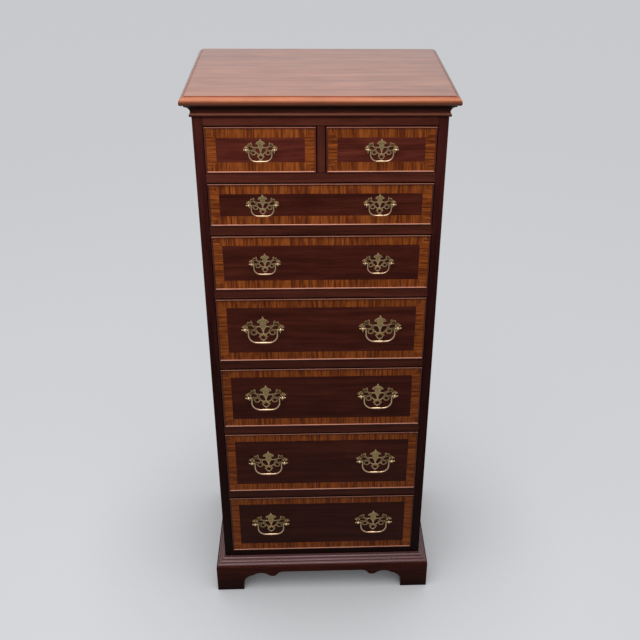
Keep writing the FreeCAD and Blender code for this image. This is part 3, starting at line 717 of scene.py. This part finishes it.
# The lower beads, painted lighter for the light that falls on them, with a bright painted
# highlight on their upper side and painted shadow in the gap behind them.
LOWER_BEAD_PAINTED_LIGHT = Wood(
    name="lower_bead_painted_light",
    dark="#4a2016",
    middle="#682e20",
    light="#82402e",
    pore="#1c0806",
    painted_highlight="#d0947c",
    painted_gap_shade="#0a0302",
    painted_floor_shading=0.7,
    specular=0.5,
    roughness=0.28,
    gloss_tint="#f4d4c8",
)
# Mahogany of the top board, faded by daylight, so it is lighter and more orange, under a
# built-up polish.
TOP_MAHOGANY = Wood(
    name="faded_mahogany",
    dark="#764734",
    middle="#8d5a45",
    light="#a46c54",
    pore="#5a3022",
    specular=0.5,
    roughness=0.30,
    polish=0.5,
)
# The moulded edge of the top board: lighter and more orange than the top, faded and painted
# lighter for the light that it catches, and painted shade underneath where it faces down.
EDGE_MAHOGANY = Wood(
    name="edge_painted_light_and_shade",
    dark="#8a4a2e",
    middle="#a05a38",
    light="#b56c46",
    pore="#6a3420",
    painted_underside_shade="#3c160a",
    painted_underside_shade_turn=(0.5, -0.15),
    specular=0.35,
    gloss_tint="#f0c8b4",
    roughness=0.30,
    polish=0.18,
)
# The same edge along the two sides, painted browner and darker for the less light that reaches
# them, under the same polish, with painted shade underneath.
SIDE_EDGE_MAHOGANY = Wood(
    name="side_edge_mahogany",
    dark="#5e3526",
    middle="#734432",
    light="#85523e",
    pore="#3a1e14",
    painted_underside_shade="#2a100a",
    painted_underside_shade_turn=(0.5, -0.05),
    specular=0.5,
    roughness=0.30,
    polish=0.5,
)
# The quirk of the top board and the strip beside it: painted shade, a dark line.
QUIRK_PAINTED_SHADE = Wood(
    name="painted_shade_in_the_quirk",
    dark="#6a3626",
    middle="#7c4432",
    light="#8c503c",
    pore="#2c140e",
)
# Amber crossbanding veneer under the same lacquer: dark streaks a few millimetres apart. It is
# painted a little lighter towards the floor.
BANDING_VENEER = Crossbanding(
    name="crossbanding_veneer",
    dark="#652d14",
    middle="#85431b",
    light="#a05526",
    pore="#48200f",
    streak=(80.0, 6.0),
    line=(50.0, 2.3),
    waver=6.0,
    pore_share=0.2,
    painted_floor_shading=1.35,
    specular=0.2,
    gloss_tint="#e8b890",
)
# Plain pale hardwood of the drawer boxes, sealed but not stained: dry, soft sheen.
DRAWER_HARDWOOD = Wood(
    name="sealed_hardwood",
    dark="#a98458",
    middle="#c09b6d",
    light="#d2b183",
    pore="#8a6a44",
    pore_share=0.25,
    roughness=0.55,
    specular=0.35,
)
# Stained plywood of the back: flat and dull, with a broad figure.
BACK_PLYWOOD = Wood(
    name="stained_plywood",
    dark="#543624",
    middle="#6a4730",
    light="#7d583d",
    pore="#3e2718",
    streak=(600.0, 38.0),
    pore_share=0.3,
    roughness=0.6,
    specular=0.3,
)
# Cast brass, lacquered once and long handled: warm and bright where it is rubbed, olive elsewhere.
BAIL_BRASS = AgedBrass()
# The plates are dusted and never gripped; above all their rims are bright, partly with wear and
# partly with a painted highlight for the light that their edges catch.
PLATE_BRASS = AgedBrass(name="aged_plate_brass", rim_share=0.8)

# How bright the leaf of each drawer's front is beside the others': the top pair was cut from a
# lighter one, the wide drawer below it and the lowest from darker ones.
LEAVES = {
    "drawer_1_left": 1.4,
    "drawer_1_right": 1.34,
    "drawer_2": 0.86,
    "drawer_3": 1.05,
    "drawer_4": 1.08,
    "drawer_5": 1.04,
    "drawer_7": 0.82,
}


@dataclass
class Workshop:
    """Copies the chest's solids, eases their arrises, lays their grain and finishes them."""

    frame: dict
    finishes: dict[str, Material] = field(default_factory=dict)

    def body_of(self, node: str) -> str:
        """Gives the body that carries a node."""
        bodies = self.frame["record"]["behaviour"]["bodies"]
        return next(body for body, members in bodies.items() if node in members)

    def coat(self, coating: Wood | AgedBrass) -> Material:
        """Gives a finish's material, built once.

        Args:
            coating: the finish.

        Returns:
            Its material.
        """
        if coating.name not in self.finishes:
            self.finishes[coating.name] = coating.material()
        return self.finishes[coating.name]

    def number_solids(self, mesh: Mesh) -> int:
        """Numbers a node's solids on their faces, because solids that touch share their places.

        The triangles come solid after solid, and a solid ends where each edge so far has met its
        opposite.

        Args:
            mesh: the copied mesh, of loose triangles.

        Returns:
            How many solids there are.
        """
        places = column(mesh.vertices, "co", width=3)
        steps = np.round(places / (SAME_PLACE * MILLIMETRE)).astype(np.int64)
        spots = np.unique(steps, axis=0, return_inverse=True)[1].ravel()
        corners = column(mesh.loops, "vertex_index", np.int32)
        numbers = []
        count = 0
        waiting: dict[tuple[int, int], int] = {}
        for one, two, three in spots[corners].reshape(-1, 3).tolist():
            numbers.append(count)
            for edge in ((one, two), (two, three), (three, one)):
                opposite = edge[::-1]
                if edge[0] == edge[1]:
                    continue
                if opposite in waiting:
                    waiting[opposite] -= 1
                    if not waiting[opposite]:
                        del waiting[opposite]
                else:
                    waiting[edge] = waiting.get(edge, 0) + 1
            if not waiting:
                count += 1
        mesh.attributes.new(SOLID, "INT", "FACE").data.foreach_set("value", numbers)
        return count

    def solid_of_faces(self, mesh: Mesh) -> np.ndarray:
        """Gives the number of each face's solid."""
        return column(mesh.attributes[SOLID].data, "value", np.int32)

    def solids(self, mesh: Mesh) -> list[np.ndarray]:
        """Tells each solid's points.

        Args:
            mesh: the mesh of a group of solids.

        Returns:
            For each solid, whether each point of the mesh is one of its own.
        """
        sizes = column(mesh.polygons, "loop_total", np.int32)
        corners = column(mesh.loops, "vertex_index", np.int32)
        owners = np.zeros(len(mesh.vertices), np.int32)
        owners[corners] = np.repeat(self.solid_of_faces(mesh), sizes)
        return [owners == number for number in range(int(owners.max()) + 1)]

    def join_triangles(self, mesh: Mesh, number: int, whole_faces: bool) -> None:
        """Joins one solid's loose triangles into a closed skin.

        Args:
            mesh: the active piece's mesh.
            number: the solid's number.
            whole_faces: whether triangles that lie flat become one face, as on a plain board.
        """
        inside = self.solids(mesh)[number]
        ends = column(mesh.edges, "vertices", np.int32, width=2)
        mesh.vertices.foreach_set("select", inside)
        mesh.edges.foreach_set("select", inside[ends[:, 0]])
        mesh.polygons.foreach_set("select", self.solid_of_faces(mesh) == number)
        bpy.ops.object.mode_set(mode="EDIT")
        bpy.ops.mesh.remove_doubles(threshold=SAME_PLACE * MILLIMETRE)
        if whole_faces:
            bpy.ops.mesh.dissolve_limited(angle_limit=math.radians(FLAT_ANGLE))
        bpy.ops.object.mode_set(mode="OBJECT")

    def copy(self, node: str, whole_faces: bool = True) -> Piece:
        """Copies a node's mesh as a piece of its own, with each solid's loose triangles joined.

        Args:
            node: the node's name.
            whole_faces: whether triangles that lie flat become one face; not on pierced brass,
                whose faces wind round many holes.

        Returns:
            The piece, alone in the selection and active.
        """
        source = self.frame["nodes"][node]
        piece = source.copy()
        piece.data = source.data.copy()
        piece.name = f"{node}.looks"
        piece.parent = None
        # The frame's marks go, so that the copy doesn't pass for the node itself.
        for key in list(piece.keys()):
            del piece[key]
        bpy.context.scene.collection.objects.link(piece)
        bpy.ops.object.select_all(action="DESELECT")
        piece.select_set(True)
        bpy.context.view_layer.objects.active = piece
        bpy.ops.mesh.customdata_custom_splitnormals_clear()
        for number in range(self.number_solids(piece.data)):
            self.join_triangles(piece.data, number, whole_faces)
        return piece

    def weigh_arrises(self, piece: Piece, full: np.ndarray, share: float) -> None:
        """Marks how much of the full easing each sharp edge takes.

        Args:
            piece: the active piece.
            full: whether each point's edges are eased in full.
            share: the share that the other sharp edges take.
        """
        mesh = piece.data
        bpy.ops.object.mode_set(mode="EDIT")
        bpy.ops.mesh.select_mode(type="EDGE")
        bpy.ops.mesh.select_all(action="DESELECT")
        bpy.ops.mesh.edges_select_sharp(sharpness=math.radians(EASED_ANGLE))
        bpy.ops.object.mode_set(mode="OBJECT")
        sharp = column(mesh.edges, "select", bool)
        ends = column(mesh.edges, "vertices", np.int32, width=2)
        weights = np.where(full[ends].all(axis=1), 1.0, share) * sharp
        marks = mesh.attributes.new("bevel_weight_edge", "FLOAT", "EDGE")
        marks.data.foreach_set("value", weights.astype(np.float32))
        bpy.ops.object.mode_set(mode="EDIT")
        bpy.ops.mesh.select_mode(type="VERT")
        bpy.ops.object.mode_set(mode="OBJECT")

    def ease(self, piece: Piece, width: float, weighed: bool = False) -> None:
        """Takes the sharpness off a piece's arrises and smooths its curved faces.

        Args:
            piece: the active piece.
            width: the width of the eased arris in millimetres.
            weighed: whether each edge takes its own share of the width.
        """
        bevel = piece.modifiers.new("eased arris", "BEVEL")
        bevel.width = width * MILLIMETRE
        bevel.segments = 2
        bevel.limit_method = "WEIGHT" if weighed else "ANGLE"
        bevel.angle_limit = math.radians(EASED_ANGLE)
        bevel.use_clamp_overlap = False
        bpy.ops.object.modifier_apply(modifier=bevel.name)
        bpy.ops.object.shade_smooth_by_angle(angle=math.radians(SMOOTH_ANGLE))
        weighted = piece.modifiers.new("flat faces stay flat", "WEIGHTED_NORMAL")
        weighted.keep_sharp = True
        bpy.ops.object.modifier_apply(modifier=weighted.name)

    def lay_grain(
        self, piece: Piece, node: str, grain: Grain, spread: float, leaf: float = 1.0
    ) -> None:
        """Writes each board's own coordinates and its brightness.

        Args:
            piece: the piece, a group of separate boards.
            node: the node's name, which seeds the boards' differences.
            grain: the way that the grain runs.
            spread: how much brighter or darker than the rest a board may be.
            leaf: how bright the leaf is that these boards were cut from.
        """
        mesh = piece.data
        places = column(mesh.vertices, "co", width=3)
        own = np.zeros_like(places)
        tones = np.zeros(len(places), np.float32)
        for number, inside in enumerate(self.solids(mesh)):
            board = places[inside]
            low, high = board.min(0), board.max(0)
            order = np.argsort(low - high, kind="stable")
            seed = f"{node} {number}"
            if grain is Grain.ACROSS:
                seed = f"{node} {order[0]}"
                order = order[[1, 0, 2]]
            chance = random.Random(seed)
            start = np.array([chance.uniform(0, GRAIN_START) for _ in range(3)], np.float32)
            own[inside] = (board - (low + high) / 2)[:, order] + start
            tones[inside] = leaf * (1 + spread * chance.uniform(-1, 1))
        mesh.attributes.new(BOARD, "FLOAT_VECTOR", "POINT").data.foreach_set("vector", own.ravel())
        mesh.attributes.new(TONE, "FLOAT", "POINT").data.foreach_set("value", tones)

    def finish(self, piece: Piece, node: str, slot: str, coating: Wood | AgedBrass) -> None:
        """Gives a piece its material and its place in the chest.

        Args:
            piece: the piece.
            node: the node that it stands for.
            slot: the name of the node's material slot in the record; not used.
            coating: its finish.
        """
        piece.data.materials.clear()
        piece.data.materials.append(self.coat(coating))
        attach(piece, self.body_of(node))
        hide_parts(node)
        LOG.info("%s: %d faces, %s", piece.name, len(piece.data.polygons), coating.name)

    def measure_proud(self, piece: Piece, face: float) -> None:
        """Writes how far each point stands out from a drawer's face.

        Args:
            piece: the piece.
            face: where the drawer's face lies along Y, in metres.
        """
        mesh = piece.data
        proud = face - column(mesh.vertices, "co", width=3)[:, 1]
        mesh.attributes.new(PROUD, "FLOAT", "POINT").data.foreach_set("value", proud)

    def repaint(self, piece: Piece, chosen: np.ndarray, coating: Wood) -> None:
        """Gives some faces of a piece another finish.

        Args:
            piece: the piece.
            chosen: whether each face takes the finish.
            coating: the finish.
        """
        mesh = piece.data
        mesh.materials.append(self.coat(coating))
        places = column(mesh.polygons, "material_index", np.int32)
        places[chosen] = len(mesh.materials) - 1
        mesh.polygons.foreach_set("material_index", places)

    def slender(self, piece: Piece, limit: float) -> np.ndarray:
        """Tells which faces belong to a strip, such as a bead.

        Args:
            piece: the piece.
            limit: the most that a strip's second side measures, in millimetres.

        Returns:
            Whether each face is a strip's.
        """
        mesh = piece.data
        places = column(mesh.vertices, "co", width=3)
        strips = [
            number
            for number, inside in enumerate(self.solids(mesh))
            if np.sort(np.ptp(places[inside], axis=0))[1] < limit * MILLIMETRE
        ]
        return np.isin(self.solid_of_faces(mesh), strips)

    def board(
        self,
        node: str,
        slot: str,
        coating: Wood,
        grain: Grain = Grain.ALONG,
        arris: float = 0.5,
        leaf: float = 1.0,
    ) -> Piece:
        """Makes the looks of a wooden node.

        Args:
            node: the node's name.
            slot: its material slot in the record.
            coating: its finish.
            grain: the way that its grain runs.
            arris: the width of its eased arrises in millimetres.
            leaf: how bright the leaf is that it was cut from.

        Returns:
            The piece.
        """
        piece = self.copy(node)
        self.ease(piece, arris)
        self.lay_grain(piece, node, grain, coating.tone_share, leaf)
        self.finish(piece, node, slot, coating)
        return piece


@dataclass
class TopAndCornice:
    """The top board with its moulded edge, and the cove moulding under it. Sizes in millimetres."""

    workshop: Workshop
    arris: float = 0.3
    quirk_depth: float = 1.7
    quirk_shade_width: float = 1.2

    def set_off_quirk_shade(self, piece: Piece) -> None:
        """Sets off a narrow strip along the quirk, for the painted shade there.

        Args:
            piece: the top board, active.
        """
        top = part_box("top_board")[1].z - SAME_PLACE * MILLIMETRE
        faces = piece.data.polygons
        level = column(faces, "normal", width=3)[:, 2] > LEVEL
        faces.foreach_set("select", level & (column(faces, "center", width=3)[:, 2] > top))
        bpy.ops.object.mode_set(mode="EDIT")
        bpy.ops.mesh.select_mode(type="FACE")
        bpy.ops.mesh.inset(thickness=self.quirk_shade_width * MILLIMETRE)
        bpy.ops.mesh.select_mode(type="VERT")
        bpy.ops.object.mode_set(mode="OBJECT")

    def in_quirk(self, piece: Piece) -> np.ndarray:
        """Tells which faces of the top board lie in its quirk or on the strip beside it.

        Args:
            piece: the top board.

        Returns:
            Whether each face does.
        """
        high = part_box("top_board")[1]
        faces = piece.data.polygons
        level = column(faces, "normal", width=3)[:, 2] > LEVEL
        centres = column(faces, "center", width=3)
        areas = column(faces, "area")
        return (
            (centres[:, 2] > high.z - self.quirk_depth * MILLIMETRE)
            & (centres[:, 1] < high.y - self.quirk_shade_width * MILLIMETRE)
            & (areas < areas[level].max())
        )

    def build(self) -> None:
        """Makes the top board and the cornice."""
        workshop = self.workshop
        piece = workshop.copy("top_board")
        self.set_off_quirk_shade(piece)
        workshop.ease(piece, self.arris)
        workshop.lay_grain(piece, "top_board", Grain.ALONG, TOP_MAHOGANY.tone_share)
        workshop.finish(piece, "top_board", "mahogany", TOP_MAHOGANY)
        # Painted light and shade on the moulded edge and its sides, and painted shade in the quirk.
        quirk = self.in_quirk(piece)
        normals = column(piece.data.polygons, "normal", width=3)
        edge = (normals[:, 2] <= LEVEL) & ~quirk
        sides = np.abs(normals[:, 0]) > np.abs(normals[:, 1])
        workshop.repaint(piece, edge & ~sides, EDGE_MAHOGANY)
        workshop.repaint(piece, edge & sides, SIDE_EDGE_MAHOGANY)
        workshop.repaint(piece, quirk, QUIRK_PAINTED_SHADE)
        workshop.board("cornice_moulding", "mahogany", CORNICE_MAHOGANY, arris=self.arris)


@dataclass
class Carcase:
    """The sides, rails, upright, runners and back that hold the drawers. Sizes in millimetres.

    A face of a side belongs to its front edge where its normal has the share edge_facing forwards,
    and one of a rail is its flat front where it has rail_facing.
    """

    workshop: Workshop
    sides: Sequence[str] = ("side_panel_left", "side_panel_right")
    members: Sequence[str] = ("front_rails", "drawer_divider")
    hidden_arris: float = 0.8
    rail_arris: float = 0.9
    edge_facing: float = 0.5
    rail_facing: float = 0.98

    def build(self) -> None:
        """Makes the case's boards; the rails' arrises take painted shade, and the lowest rail all
        over.
        """
        for node in self.sides:
            piece = self.workshop.board(node, "mahogany", CASE_MAHOGANY)
            forwards = -column(piece.data.polygons, "normal", width=3)[:, 1]
            # The sides' front edges take a darker stain with painted shade towards the floor.
            self.workshop.repaint(piece, forwards > self.edge_facing, STILE_STAIN_AND_SHADE)
        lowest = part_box("drawer_7_front")[0].z
        for node in self.members:
            piece = self.workshop.board(node, "mahogany", RAIL_MAHOGANY, arris=self.rail_arris)
            forwards = -column(piece.data.polygons, "normal", width=3)[:, 1]
            low = column(piece.data.polygons, "center", width=3)[:, 2] < lowest
            # Painted shade on the rails' arrises and edges, and the stiles' painted shade on the
            # lowest rail.
            self.workshop.repaint(piece, (forwards < self.rail_facing) & ~low, GAP_PAINTED_SHADE)
            if low.any():
                self.workshop.repaint(piece, low, STILE_STAIN_AND_SHADE)
        hidden = self.hidden_arris
        self.workshop.board("drawer_runners", "drawer_wood", DRAWER_HARDWOOD, arris=hidden)
        self.workshop.board("back_panel", "back_wood", BACK_PLYWOOD, arris=hidden)


@dataclass
class BracketBase:
    """The base moulding, the bracket base under it and its glue blocks. Sizes in millimetres."""

    workshop: Workshop
    shown: Sequence[str] = ("base_front", "base_left", "base_right")
    hidden: Sequence[str] = ("base_back_rail", "glue_blocks")
    moulding_arris: float = 0.3

    def build(self) -> None:
        """Makes the boards of the base."""
        self.workshop.board(
            "base_moulding", "mahogany", MOULDING_MAHOGANY, arris=self.moulding_arris
        )
        for node in self.shown:
            self.workshop.board(node, "mahogany", BASE_MAHOGANY)
        for node in self.hidden:
            self.workshop.board(node, "drawer_wood", DRAWER_HARDWOOD)


@dataclass
class Drawer:
    """One drawer: its front, crossbanding, box and brass, and the bails that swing on its posts.

    Sizes are in millimetres. A brass solid wider than plate_width is a pierced plate, and what is
    within slack of its front lies on it. How bright brass is rubbed goes from 0 to 1: a post by
    how much of rubbed_reach it stands out, a bail from bail_rubbing at its top to 1 at its grip, a
    plate's filed rims by rim_highlight_rubbing, partly wear and partly a painted highlight, and
    its front by plate_rubbing in the middle, which falls to end_rubbing over middle_reach, a
    share of its width. A bead is narrower than bead_limit.
    """

    workshop: Workshop
    name: str
    leaf: float = 1.0
    veneer_arris: float = 0.1
    brass_arris: float = 0.3
    small_arris_share: float = 0.4
    plate_width: float = 60.0
    plate_thickness: float = 2.0
    plate_rubbing: float = 0.28
    end_rubbing: float = 0.05
    middle_reach: float = 0.2
    rim_highlight_rubbing: float = 0.8
    slack: float = 0.01
    bail_rubbing: float = 0.25
    rubbed_reach: float = 22.0
    bead_limit: float = 30.0
    bead_width: float = 4.2

    def bails(self) -> list[str]:
        """Gives the names of the nodes of this drawer's bails."""
        return sorted(
            node
            for node in self.workshop.frame["nodes"]
            if node.startswith(self.name) and "bail" in node
        )

    def face(self) -> float:
        """Gives where the drawer's face lies along Y, in metres."""
        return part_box(f"{self.name}_banding")[0].y

    def plate_fronts(self, piece: Piece) -> np.ndarray:
        """Tells which points lie on the front of a pierced plate, whose edges are filed round.

        Args:
            piece: the piece, a group of brass solids.

        Returns:
            Whether each point does.
        """
        places = column(piece.data.vertices, "co", width=3)
        plate_face = self.face() - self.plate_thickness * MILLIMETRE
        fronts = np.abs(plate_face - places[:, 1]) < self.slack * MILLIMETRE
        for inside in self.workshop.solids(piece.data):
            if np.ptp(places[inside, 0]) < self.plate_width * MILLIMETRE:
                fronts[inside] = False
        return fronts

    def measure_rubbing(self, piece: Piece, node: str) -> None:
        """Writes how bright each point of a brass piece is rubbed.

        Args:
            piece: the piece, a group of brass solids.
            node: the node that it stands for.
        """
        mesh = piece.data
        places = column(mesh.vertices, "co", width=3) / MILLIMETRE
        if "bail" in node:
            heights = places[:, 2]
            lowness = (heights.max() - heights) / np.ptp(heights)
            values = self.bail_rubbing + (1 - self.bail_rubbing) * lowness
        else:
            proud = self.face() / MILLIMETRE - places[:, 1]
            values = np.clip(proud / self.rubbed_reach, 0, 1)
            for inside in self.workshop.solids(mesh):
                across = places[inside, 0]
                if np.ptp(across) > self.plate_width:
                    off_middle = np.abs((across - across.min()) / np.ptp(across) - 0.5)
                    middle = 1 - off_middle / self.middle_reach
                    rim = proud[inside] < self.plate_thickness - self.slack
                    flat = np.clip(self.plate_rubbing * middle, self.end_rubbing, None)
                    # A plate's rims are brighter, partly wear and partly a painted highlight.
                    values[inside] = flat + self.rim_highlight_rubbing * rim
        marks = mesh.attributes.new(RUBBING, "FLOAT", "POINT")
        marks.data.foreach_set("value", values.astype(np.float32))

    def brass(self, node: str) -> None:
        """Makes a brass node: its arrises eased, and its high places rubbed bright.

        Args:
            node: the node's name.
        """
        piece = self.workshop.copy(node, whole_faces=False)
        self.workshop.weigh_arrises(piece, self.plate_fronts(piece), self.small_arris_share)
        self.workshop.ease(piece, self.brass_arris, weighed=True)
        self.measure_rubbing(piece, node)
        self.workshop.finish(piece, node, "brass", BAIL_BRASS if "bail" in node else PLATE_BRASS)

    def build(self) -> None:
        """Makes the drawer's pieces."""
        front = self.workshop.board(f"{self.name}_front", "mahogany", CASE_MAHOGANY, leaf=self.leaf)
        self.workshop.measure_proud(front, self.face())
        beads = self.workshop.slender(front, self.bead_limit)
        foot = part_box(f"{self.name}_front")[0].z + self.bead_width * MILLIMETRE
        low = column(front.data.polygons, "center", width=3)[:, 2] < foot
        # The beads take a painted highlight and painted gap shadow; the lower bead is painted
        # lighter.
        self.workshop.repaint(front, beads & ~low, BEAD_MAHOGANY)
        self.workshop.repaint(front, beads & low, LOWER_BEAD_PAINTED_LIGHT)
        self.workshop.board(
            f"{self.name}_banding",
            "crossbanding",
            BANDING_VENEER,
            Grain.ACROSS,
            arris=self.veneer_arris,
        )
        self.workshop.board(f"{self.name}_box", "drawer_wood", DRAWER_HARDWOOD)
        for node in [f"{self.name}_pulls", *self.bails()]:
            self.brass(node)


@dataclass
class Studio:
    """A plain pale floor, soft light from above and in front, and the camera of the photograph.

    Lengths and places are in metres, powers in watts, turns in degrees, the lens in millimetres.
    """

    floor_paint: str = "#dcdde0"
    floor_lit: str = "#646464"
    floor_glow: float = 1.12
    glow_share: float = 0.66
    shadow_reach: float = 0.5
    floor_side: float = 40.0
    surround: float = 0.26
    surround_shown: float = 0.98
    overhead_side: float = 1.6
    overhead_place: Place = (-0.2, -0.7, 2.6)
    overhead_power: float = 36.0
    front_side: float = 2.2
    front_place: Place = (-1.0, -3.2, 2.4)
    front_power: float = 7.0
    camera_place: Place = (-0.0284, -2.08415, 2.0591)
    camera_turn: Place = (60.5991, -0.6988, -2.408)
    camera_lens: float = 49.18
    camera_shift: Pair = (-0.0429, -0.0369)

    def seen(self, tree: Tree) -> Socket:
        """Tells the rays that show the surroundings, straight or in a gloss, from those that light.

        Args:
            tree: the node tree.

        Returns:
            1 for a ray that shows, 0 for one that lights.
        """
        rays = add_node(tree, "ShaderNodeLightPath").outputs
        shown = calculated(tree, "MAXIMUM", rays["Is Camera Ray"], rays["Is Glossy Ray"])
        return calculated(tree, "MAXIMUM", shown, rays["Is Transmission Ray"])

    def floor_material(self) -> Material:
        """Builds the floor's matt pale paint: evenly pale to the eye, with the chest's shadow.

        Returns:
            The material.
        """
        made = bpy.data.materials.new("pale_floor_paint")
        tree = empty_tree(made)
        lit = add_node(tree, "ShaderNodeBsdfDiffuse", {"Color": linear(self.floor_lit)})
        paint = add_node(tree, "ShaderNodeBsdfDiffuse", {"Color": linear(self.floor_paint)})
        open_sky = add_node(
            tree,
            "ShaderNodeAmbientOcclusion",
            {"Color": linear(self.floor_paint), "Distance": self.shadow_reach, "samples": 8},
        )
        glow = add_node(
            tree,
            "ShaderNodeEmission",
            {"Strength": self.floor_glow},
            {"Color": open_sky.outputs["Color"]},
        )
        pale = add_node(
            tree,
            "ShaderNodeMixShader",
            {0: self.glow_share},
            {1: paint.outputs["BSDF"], 2: glow.outputs["Emission"]},
        )
        both = add_node(
            tree,
            "ShaderNodeMixShader",
            {},
            {0: self.seen(tree), 1: lit.outputs["BSDF"], 2: pale.outputs["Shader"]},
        )
        add_node(tree, "ShaderNodeOutputMaterial", {}, {"Surface": both.outputs["Shader"]})
        return made

    def floor(self, level: float) -> None:
        """Lays the floor.

        Args:
            level: its height in metres.
        """
        bpy.ops.object.select_all(action="DESELECT")
        bpy.ops.mesh.primitive_plane_add(size=self.floor_side, location=(0, 0, level))
        plane = bpy.context.object
        plane.name = "studio_floor"
        bpy.ops.object.transform_apply()
        plane.data.materials.append(self.floor_material())
        plane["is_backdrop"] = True

    def world(self) -> None:
        """Sets the even pale surroundings: brighter to the eye and in gloss than they light."""
        world = bpy.data.worlds.new("pale_surroundings")
        bpy.context.scene.world = world
        tree = empty_tree(world)
        background = add_node(
            tree,
            "ShaderNodeBackground",
            {"Color": linear(self.floor_paint)},
            {"Strength": ranged(tree, self.seen(tree), new=(self.surround, self.surround_shown))},
        )
        add_node(tree, "ShaderNodeOutputWorld", {}, {"Surface": background.outputs["Background"]})

    def lamp(self, name: str, place: Place, target: Place, side: float, power: float) -> None:
        """Hangs a square soft light.

        Args:
            name: its name.
            place: its centre in metres.
            target: the point that it faces.
            side: its side in metres.
            power: its power in watts.
        """
        light = bpy.data.lights.new(name, "AREA")
        light.shape = "SQUARE"
        light.size = side
        light.energy = power
        lamp = bpy.data.objects.new(name, light)
        lamp.location = place
        lamp.rotation_euler = (Vector(target) - Vector(place)).to_track_quat("-Z", "Y").to_euler()
        bpy.context.scene.collection.objects.link(lamp)

    def camera(self) -> None:
        """Sets up the camera where the photograph was taken."""
        data = bpy.data.cameras.new("camera")
        data.sensor_width = 36.0
        data.lens = self.camera_lens
        data.shift_x, data.shift_y = self.camera_shift
        camera = bpy.data.objects.new("camera", data)
        camera.location = self.camera_place
        camera.rotation_euler = [math.radians(angle) for angle in self.camera_turn]
        bpy.context.scene.collection.objects.link(camera)
        bpy.context.scene.camera = camera

    def build(self, low: Sequence[float], high: Sequence[float]) -> None:
        """Lays the floor, hangs the lights and sets up the camera.

        Args:
            low: the chest's lowest corner.
            high: its highest corner.
        """
        self.floor(low[2])
        self.world()
        middle = (0.0, 0.0, (low[2] + high[2]) / 2)
        top = (0.0, 0.0, high[2])
        self.lamp(
            "overhead_light", self.overhead_place, top, self.overhead_side, self.overhead_power
        )
        self.lamp("front_light", self.front_place, middle, self.front_side, self.front_power)
        self.camera()
        bpy.context.scene.view_settings.view_transform = "Standard"


def main() -> None:
    """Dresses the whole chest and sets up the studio."""
    logging.basicConfig(level=logging.INFO, format="%(name)s %(message)s")
    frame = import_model()
    low, high = (list(corner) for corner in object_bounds())
    workshop = Workshop(frame)
    drawers = sorted(
        node.removesuffix("_front")
        for node in frame["nodes"]
        if node.startswith("drawer_") and node.endswith("_front")
    )
    TopAndCornice(workshop).build()
    Carcase(workshop).build()
    BracketBase(workshop).build()
    for name in drawers:
        Drawer(workshop, name, leaf=LEAVES.get(name, 1.0)).build()
    Studio().build(low, high)


if __name__ == "__main__":
    main()
